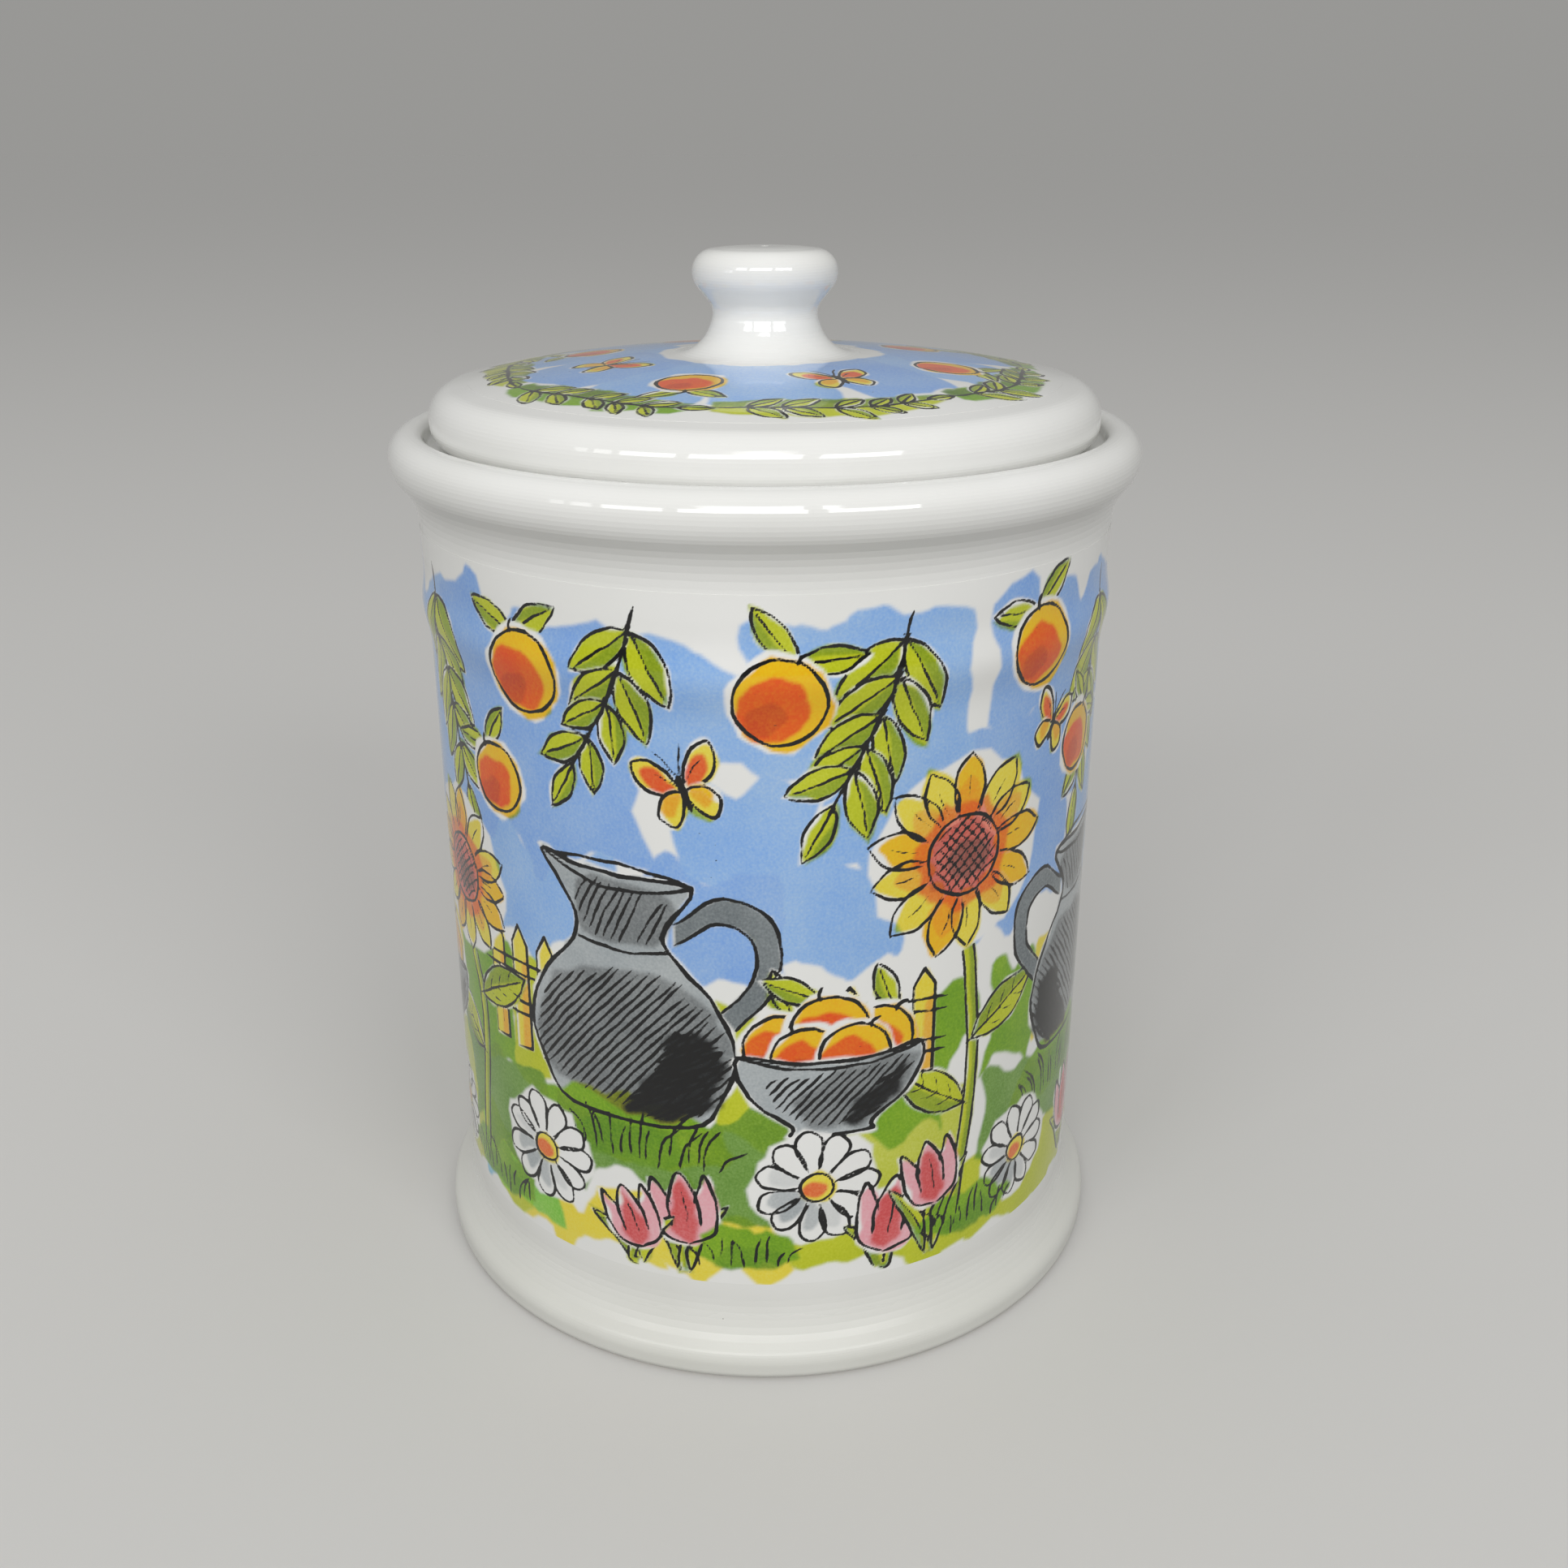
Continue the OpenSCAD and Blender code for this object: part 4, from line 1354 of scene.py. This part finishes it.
def sheet_faces(columns, rows, kept):
    """Faces of a closed sheet: front, back and four narrow sides, and the front's corner count."""
    front = np.arange(columns * rows).reshape(columns, rows)
    back = columns * rows + np.arange(columns * len(kept)).reshape(columns, len(kept))
    quads = [np.stack([front[:-1, :-1], front[1:, :-1], front[1:, 1:], front[:-1, 1:]], -1),
             np.stack([back[:-1, :-1], back[:-1, 1:], back[1:, 1:], back[1:, :-1]], -1),
             np.stack([front[1:, 0], front[:-1, 0], back[:-1, 0], back[1:, 0]], -1),
             np.stack([front[:-1, -1], front[1:, -1], back[1:, -1], back[:-1, -1]], -1)]
    faces = [face for group in quads for face in group.reshape(-1, 4).tolist()]
    for k, (low, high) in enumerate(zip(kept, kept[1:])):
        faces.append([*front[0, low:high + 1].tolist(), int(back[0, k + 1]), int(back[0, k])])
        faces.append([*front[-1, low:high + 1][::-1].tolist(), int(back[-1, k]), int(back[-1, k + 1])])
    return faces, quads[0].size


print(f"a coarse back strays {BACK_STRAYS_MM} mm at most")

# %% [markdown]
# The drawing goes into the mesh as attributes of its corners: the tint as a colour and the ink as a
# number. The hidden faces stay without either. On the bake map they get a place beside the front,
# and their outer corners are set a hair apart from their inner ones, because a face without any
# width there can't be baked.

# %% Drawing and bake map of a sheet
HAIR = 0.003


def write_drawing(mesh, tint, ink):
    """Puts tint and ink on the front's corners, which come first."""
    colours = np.ones((len(mesh.vertices), 4), np.float32)
    colours[:ink.size, :3] = tint.reshape(-1, 3)
    mesh.color_attributes.new("tint", "FLOAT_COLOR", "POINT").data.foreach_set("color", colours.ravel())
    values = np.full(len(mesh.vertices), NO_INK, np.float32)
    values[:ink.size] = ink.ravel()
    mesh.attributes.new("ink", "FLOAT", "POINT").data.foreach_set("value", values)


def write_map(mesh, bake_map, kept, corner_of, front_corners):
    """Lays the front and the hidden faces side by side on the bake map."""
    shown, hidden = bake_map
    beside = np.vstack([hidden.reshape(-1, 2) - HAIR, hidden[:, kept].reshape(-1, 2)])
    map_places = beside[corner_of]
    map_places[:front_corners] = shown.reshape(-1, 2)[corner_of[:front_corners]]
    mesh.uv_layers.new(name="OFBake").data.foreach_set("uv", map_places.astype(np.float32).ravel())


print("a hair on the bake map is", HAIR, "of its width")

# %% [markdown]
# The front's normals come from the outline. A normal of zero leaves a corner's own one, as the
# hidden faces need.

# %% Build one sheet
def build_sheet(name, front, back, normals, tint, ink, bake_map):
    """One closed sheet of print, with its drawing, its normals and a map for baking."""
    columns, rows = front.shape[:2]
    kept = rows_to_keep(np.hypot(back[0, :, 0], back[0, :, 1]), back[0, :, 2])
    faces, front_corners = sheet_faces(columns, rows, kept)
    places = np.vstack([front.reshape(-1, 3), back[:, kept].reshape(-1, 3)])
    mesh = bpy.data.meshes.new(name)
    mesh.from_pydata(places.tolist(), [], faces)
    mesh.shade_smooth()
    write_drawing(mesh, tint, ink)
    corner_of = np.empty(len(mesh.loops), np.int32)
    mesh.loops.foreach_get("vertex_index", corner_of)
    write_map(mesh, bake_map, kept, corner_of, front_corners)
    ways = np.zeros((len(corner_of), 3), np.float32)
    ways[:front_corners] = normals.reshape(-1, 3)[corner_of[:front_corners]]
    mesh.normals_split_custom_set(ways.tolist())
    sheet = bpy.data.objects.new(name, mesh)
    scene.collection.objects.link(sheet)
    return sheet


print("a sheet carries tint, ink, a bake map and normals of its own")

# %% [markdown]
# ## The rows of a sheet
# The grid is 0.42 mm, about half a pen stroke. Rows run up the wall, and on the lid from the
# outside in: both ways the faces then look out of the piece.

# %% Rows along an outline
GRID_MM = 0.42
EVEN_OUT_MM = 1.5
THIN_EDGE = 0.35  # the share of its thickness that a sheet has at its edges
THINNING_MM = 5.0


def print_rows(outline):
    """Evenly spaced places along an outline, with the sheet's back and its face there."""
    along, inner, outer = outline
    count = round((along[-1] - along[0]) / (GRID_MM * MM)) + 1
    place = np.linspace(along[0], along[-1], count)
    span = max(1, round(EVEN_OUT_MM / GRID_MM))
    back = smoothed(np.interp(place, along, inner), span)
    full = smoothed(np.interp(place, along, outer), span)
    edge = np.minimum(place - place[0], place[-1] - place) / (THINNING_MM * MM)
    thin = THIN_EDGE + (1 - THIN_EDGE) * np.clip(edge, 0, 1)
    return place, back, back + (full - back) * thin


def outward(radius, height):
    """The direction square to an outline, as radial and upright parts."""
    along_r = np.gradient(radius)
    along_z = np.gradient(height)
    size = np.hypot(along_r, along_z)
    return along_z / size, -along_r / size


wall_height, wall_back, wall_face = print_rows(wall)
dome_radius, dome_back, dome_face = (row[::-1] for row in print_rows(dome))
print(f"{len(wall_height)} rows on the wall, {len(dome_radius)} on the lid")

# %% [markdown]
# ## Print the jar and the lid
# Each print is drawn once, for the whole way round, and then cut into its four sheets, so a stroke
# runs on from one to the next. The bake map lays a sheet's front over nearly the whole square, the
# wall's as a rectangle and the lid's as a quarter disc. A baked picture then keeps the strokes
# sharp.

# %% Lay the sheets
SHEETS = ("front", "right", "back", "left")


def turns_of(columns, sheets):
    """The angles of all the columns of some sheets, the first sheet centred on the front."""
    return (np.arange(sheets * columns + 1) / columns - 0.5) * 2 * math.pi / len(SHEETS)


def lay_sheets(name, body, material, face, back, sheet, columns, bake_map):
    """Lays a drawn print round its piece as four sheets. face and back are radii and heights."""
    tint = sheet.tint.reshape(len(SHEETS) * columns, -1, 3)
    ink = sheet.ink.reshape(len(SHEETS) * columns, -1)
    for k, side in enumerate(SHEETS):
        picked = np.arange(k * columns, (k + 1) * columns + 1) % len(ink)
        turn = turns_of(columns, 1) + k * 2 * math.pi / len(SHEETS)
        piece = build_sheet(f"{name}_{side}", spun(turn, *face), spun(turn, *back),
                            spun(turn, *outward(*face)), tint[picked], ink[picked], bake_map)
        piece.data.materials.append(material)
        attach(piece, body)
        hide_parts(name)
    print(f"{name}: {len(SHEETS)} sheets of {columns + 1} x {ink.shape[1]} corners")


# %% [markdown]
# The wall's sheet of paper is its girth by its height. On the bake map its front takes nine tenths
# of the square, and its hidden faces a narrow strip above.

# %% Print on the jar
MAP_EDGE = 0.01
MAP_WIDE = 1 - 2 * MAP_EDGE
FRONT_HIGH = 0.9
STRIP_FROM, STRIP_HIGH = 0.95, 0.04

wall_columns = round(GIRTH_MM / len(SHEETS) / GRID_MM)
wall_turns = turns_of(wall_columns, len(SHEETS))[:-1]
on_girth, above_table = np.meshgrid(wall_turns / (2 * math.pi) * GIRTH_MM, wall_height / MM,
                                    indexing="ij")
garden = Sheet(on_girth, above_table, GIRTH_MM)
draw_garden(garden)
across, up = np.meshgrid(np.linspace(0, 1, wall_columns + 1),
                         np.linspace(0, 1, len(wall_height)), indexing="ij")
wall_map = (np.stack([across * MAP_WIDE + MAP_EDGE, up * FRONT_HIGH + MAP_EDGE], -1),
            np.stack([across * MAP_WIDE + MAP_EDGE, up * STRIP_HIGH + STRIP_FROM], -1))
lay_sheets("jar_print", "jar", jar_print_glaze, (wall_face, wall_height), (wall_back, wall_height),
           garden, wall_columns, wall_map)
print(f"ink on {np.mean(garden.ink < 0):.0%} of the wall")

# %% [markdown]
# The lid's is a ring, seen from above. A turn of zero is the front, towards -Y. On the map, the
# small quarter disc of the hidden faces fits into the corner that the ring leaves free.

# %% Print on the lid
HIDDEN_DISC = 0.2
HIDDEN_DISC_EDGE = 0.015

lid_columns = round(2 * math.pi * dome_radius[0] / MM / len(SHEETS) / GRID_MM)
lid_turns = turns_of(lid_columns, len(SHEETS))[:-1]
seen_from_above = spun(lid_turns, dome_radius / MM, dome_face)
ring = Sheet(seen_from_above[..., 0], seen_from_above[..., 1])
draw_ring(ring)
quarter = turns_of(lid_columns, 1) + math.pi / 4
reach = dome_radius / dome_radius[0]
disc = np.stack([np.outer(np.cos(quarter), reach), np.outer(np.sin(quarter), reach)], -1)
lid_map = (disc * MAP_WIDE + MAP_EDGE, disc * HIDDEN_DISC + HIDDEN_DISC_EDGE)
lay_sheets("lid_print", "lid", lid_print_glaze, (dome_radius, dome_face), (dome_radius, dome_back),
           ring, lid_columns, lid_map)
print(f"ink on {np.mean(ring.ink < 0):.0%} of the lid's ring")

# %% [markdown]
# ## The floor
# The jar stands on matt pale grey paper. It is white, so the paper is a shade darker than the glaze,
# and its outline reads all round. The paper is so wide that its far edge is the horizon. A curved
# backdrop would only serve one view. The world takes over the far paper's tone instead, so the
# horizon disappears from every side, and what shows from behind is only the soft edge of the
# lamps' light on the paper. Pale paper would also throw so much light up at the foot and under the
# rim that their forms go flat. So only camera and mirror rays see it pale. The rays that carry
# light meet a darker grey, like that of a table top.

# %% Floor
PAPER_GREY = "#d8d7d4"
BOUNCE_GREY = "#8c8b88"
FLOOR_RADIUS_M = 30.0
FLOOR_CORNERS = 96


def is_seen(tree):
    """1 for rays from the camera or from a mirror or glass, 0 for rays that carry light."""
    rays = add(tree, "LightPath", {}).node.outputs
    mirrored = add(tree, "Math", {0: rays["Is Glossy Ray"], 1: rays["Is Transmission Ray"]},
                   operation="MAXIMUM")
    return add(tree, "Math", {0: rays["Is Camera Ray"], 1: mirrored}, operation="MAXIMUM")


def paper_floor():
    """A disc of matt paper, level with the foot ring."""
    turns = np.linspace(0, 2 * math.pi, FLOOR_CORNERS, endpoint=False)
    places = [(FLOOR_RADIUS_M * math.cos(turn), FLOOR_RADIUS_M * math.sin(turn), 0) for turn in turns]
    mesh = bpy.data.meshes.new("paper_floor")
    mesh.from_pydata(places, [], [range(len(places))])
    material = blank("matt_paper")
    tree = material.node_tree
    colour = add(tree, "Mix", {"Factor": is_seen(tree), "A": linear(BOUNCE_GREY),
                               "B": linear(PAPER_GREY)}, data_type="RGBA")
    shader = add(tree, "BsdfDiffuse", {"Color": colour})
    add(tree, "OutputMaterial", {"Surface": shader})
    mesh.materials.append(material)
    floor = bpy.data.objects.new("paper_floor", mesh)
    scene.collection.objects.link(floor)
    return floor


paper_floor()
print(f"paper laid, {2 * FLOOR_RADIUS_M:.0f} m across")

# %% [markdown]
# ## The soft light
# The jar stands in a room with a pale ceiling, so the soft light is brighter overhead than at the
# horizon. The paper far away is as bright as its own colour times the light on a level face. That
# light is the mean of the sky, in which what stands higher counts for more, so it is worked out
# here from the same numbers as the nodes'. Camera and mirror rays see that tone, and all other rays
# get the light.

# %% World
HORIZON_LIGHT = 0.43
ZENITH_LIGHT = 0.47
ZENITH_FROM = 0.9


def light_on_level_face():
    """The soft light on a level face, as a share of a plain white sky's."""
    upright = np.sqrt((np.arange(1000) + 0.5) / 1000)
    share = np.minimum(upright / ZENITH_FROM, 1)
    return float(HORIZON_LIGHT + (ZENITH_LIGHT - HORIZON_LIGHT) * share.mean())


def soft_room():
    """A world that lights like a room and looks like more paper."""
    world = bpy.data.worlds.new("soft_room_light")
    world.use_nodes = True
    tree = world.node_tree
    tree.nodes.clear()
    way = add(tree, "TexCoord", {}, "Generated")
    upright = add(tree, "SeparateXYZ", {"Vector": way}, "Z")
    strength = add(tree, "MapRange", {"Value": upright, "From Min": 0.0, "From Max": ZENITH_FROM,
                                      "To Min": HORIZON_LIGHT, "To Max": ZENITH_LIGHT})
    light = add(tree, "Background", {"Color": (1, 1, 1), "Strength": strength})
    tone = linear(PAPER_GREY) * light_on_level_face()
    far_paper = add(tree, "Background", {"Color": tone, "Strength": 1.0})
    mixed = add(tree, "MixShader", {0: is_seen(tree), 1: light, 2: far_paper})
    add(tree, "OutputWorld", {"Surface": mixed})
    return world


scene.world = soft_room()
print(f"light on the paper {light_on_level_face():.2f}")

# %% [markdown]
# ## The window
# Gloss only shows what it mirrors, and under soft light alone the glaze would look matt. A row of
# window panes in front adds the long broken streaks on the rim and the lid. They are bright, because
# glaze mirrors only a twentieth of what it faces, and stand apart, because the streaks have gaps.
# The panes' bearings are in degrees from the front, seen from the jar, and their heights in degrees
# above the level of its rim. The third number is a pane's share of the full brightness. The panes
# themselves stay out of every view.

# %% Windows
WINDOW_DISTANCE_M = 1.5
WINDOW_PANES = ((-65, -60, 0.35), (-57.5, -51, 0.5), (-48, -29, 0.9), (-24.5, 12.5, 1.0),
                (18.5, 46.5, 1.0))
PANE_LOW, PANE_HIGH = 23, 40
PANE_RADIANCE = 6.2
JAR_TOP_M = 0.18


def window_pane(name, left, right, share):
    """An upright lamp between two bearings. It shines towards the jar's side, +Y."""
    x0 = WINDOW_DISTANCE_M * math.tan(math.radians(left))
    x1 = WINDOW_DISTANCE_M * math.tan(math.radians(right))
    low = JAR_TOP_M + WINDOW_DISTANCE_M * math.tan(math.radians(PANE_LOW))
    high = JAR_TOP_M + WINDOW_DISTANCE_M * math.tan(math.radians(PANE_HIGH))
    data = bpy.data.lights.new(name, "AREA")
    data.shape = "RECTANGLE"
    data.size = x1 - x0
    data.size_y = high - low
    data.energy = PANE_RADIANCE * share * math.pi * data.size * data.size_y
    lamp = bpy.data.objects.new(name, data)
    lamp.location = ((x0 + x1) / 2, -WINDOW_DISTANCE_M, (low + high) / 2)
    lamp.rotation_euler = (math.pi / 2, 0, 0)
    lamp.visible_camera = False
    scene.collection.objects.link(lamp)
    return lamp


panes = [window_pane(f"window_{k + 1}", *pane) for k, pane in enumerate(WINDOW_PANES)]
print(f"{len(panes)} panes, {panes[0].data.size_y * 1000:.0f} mm high")
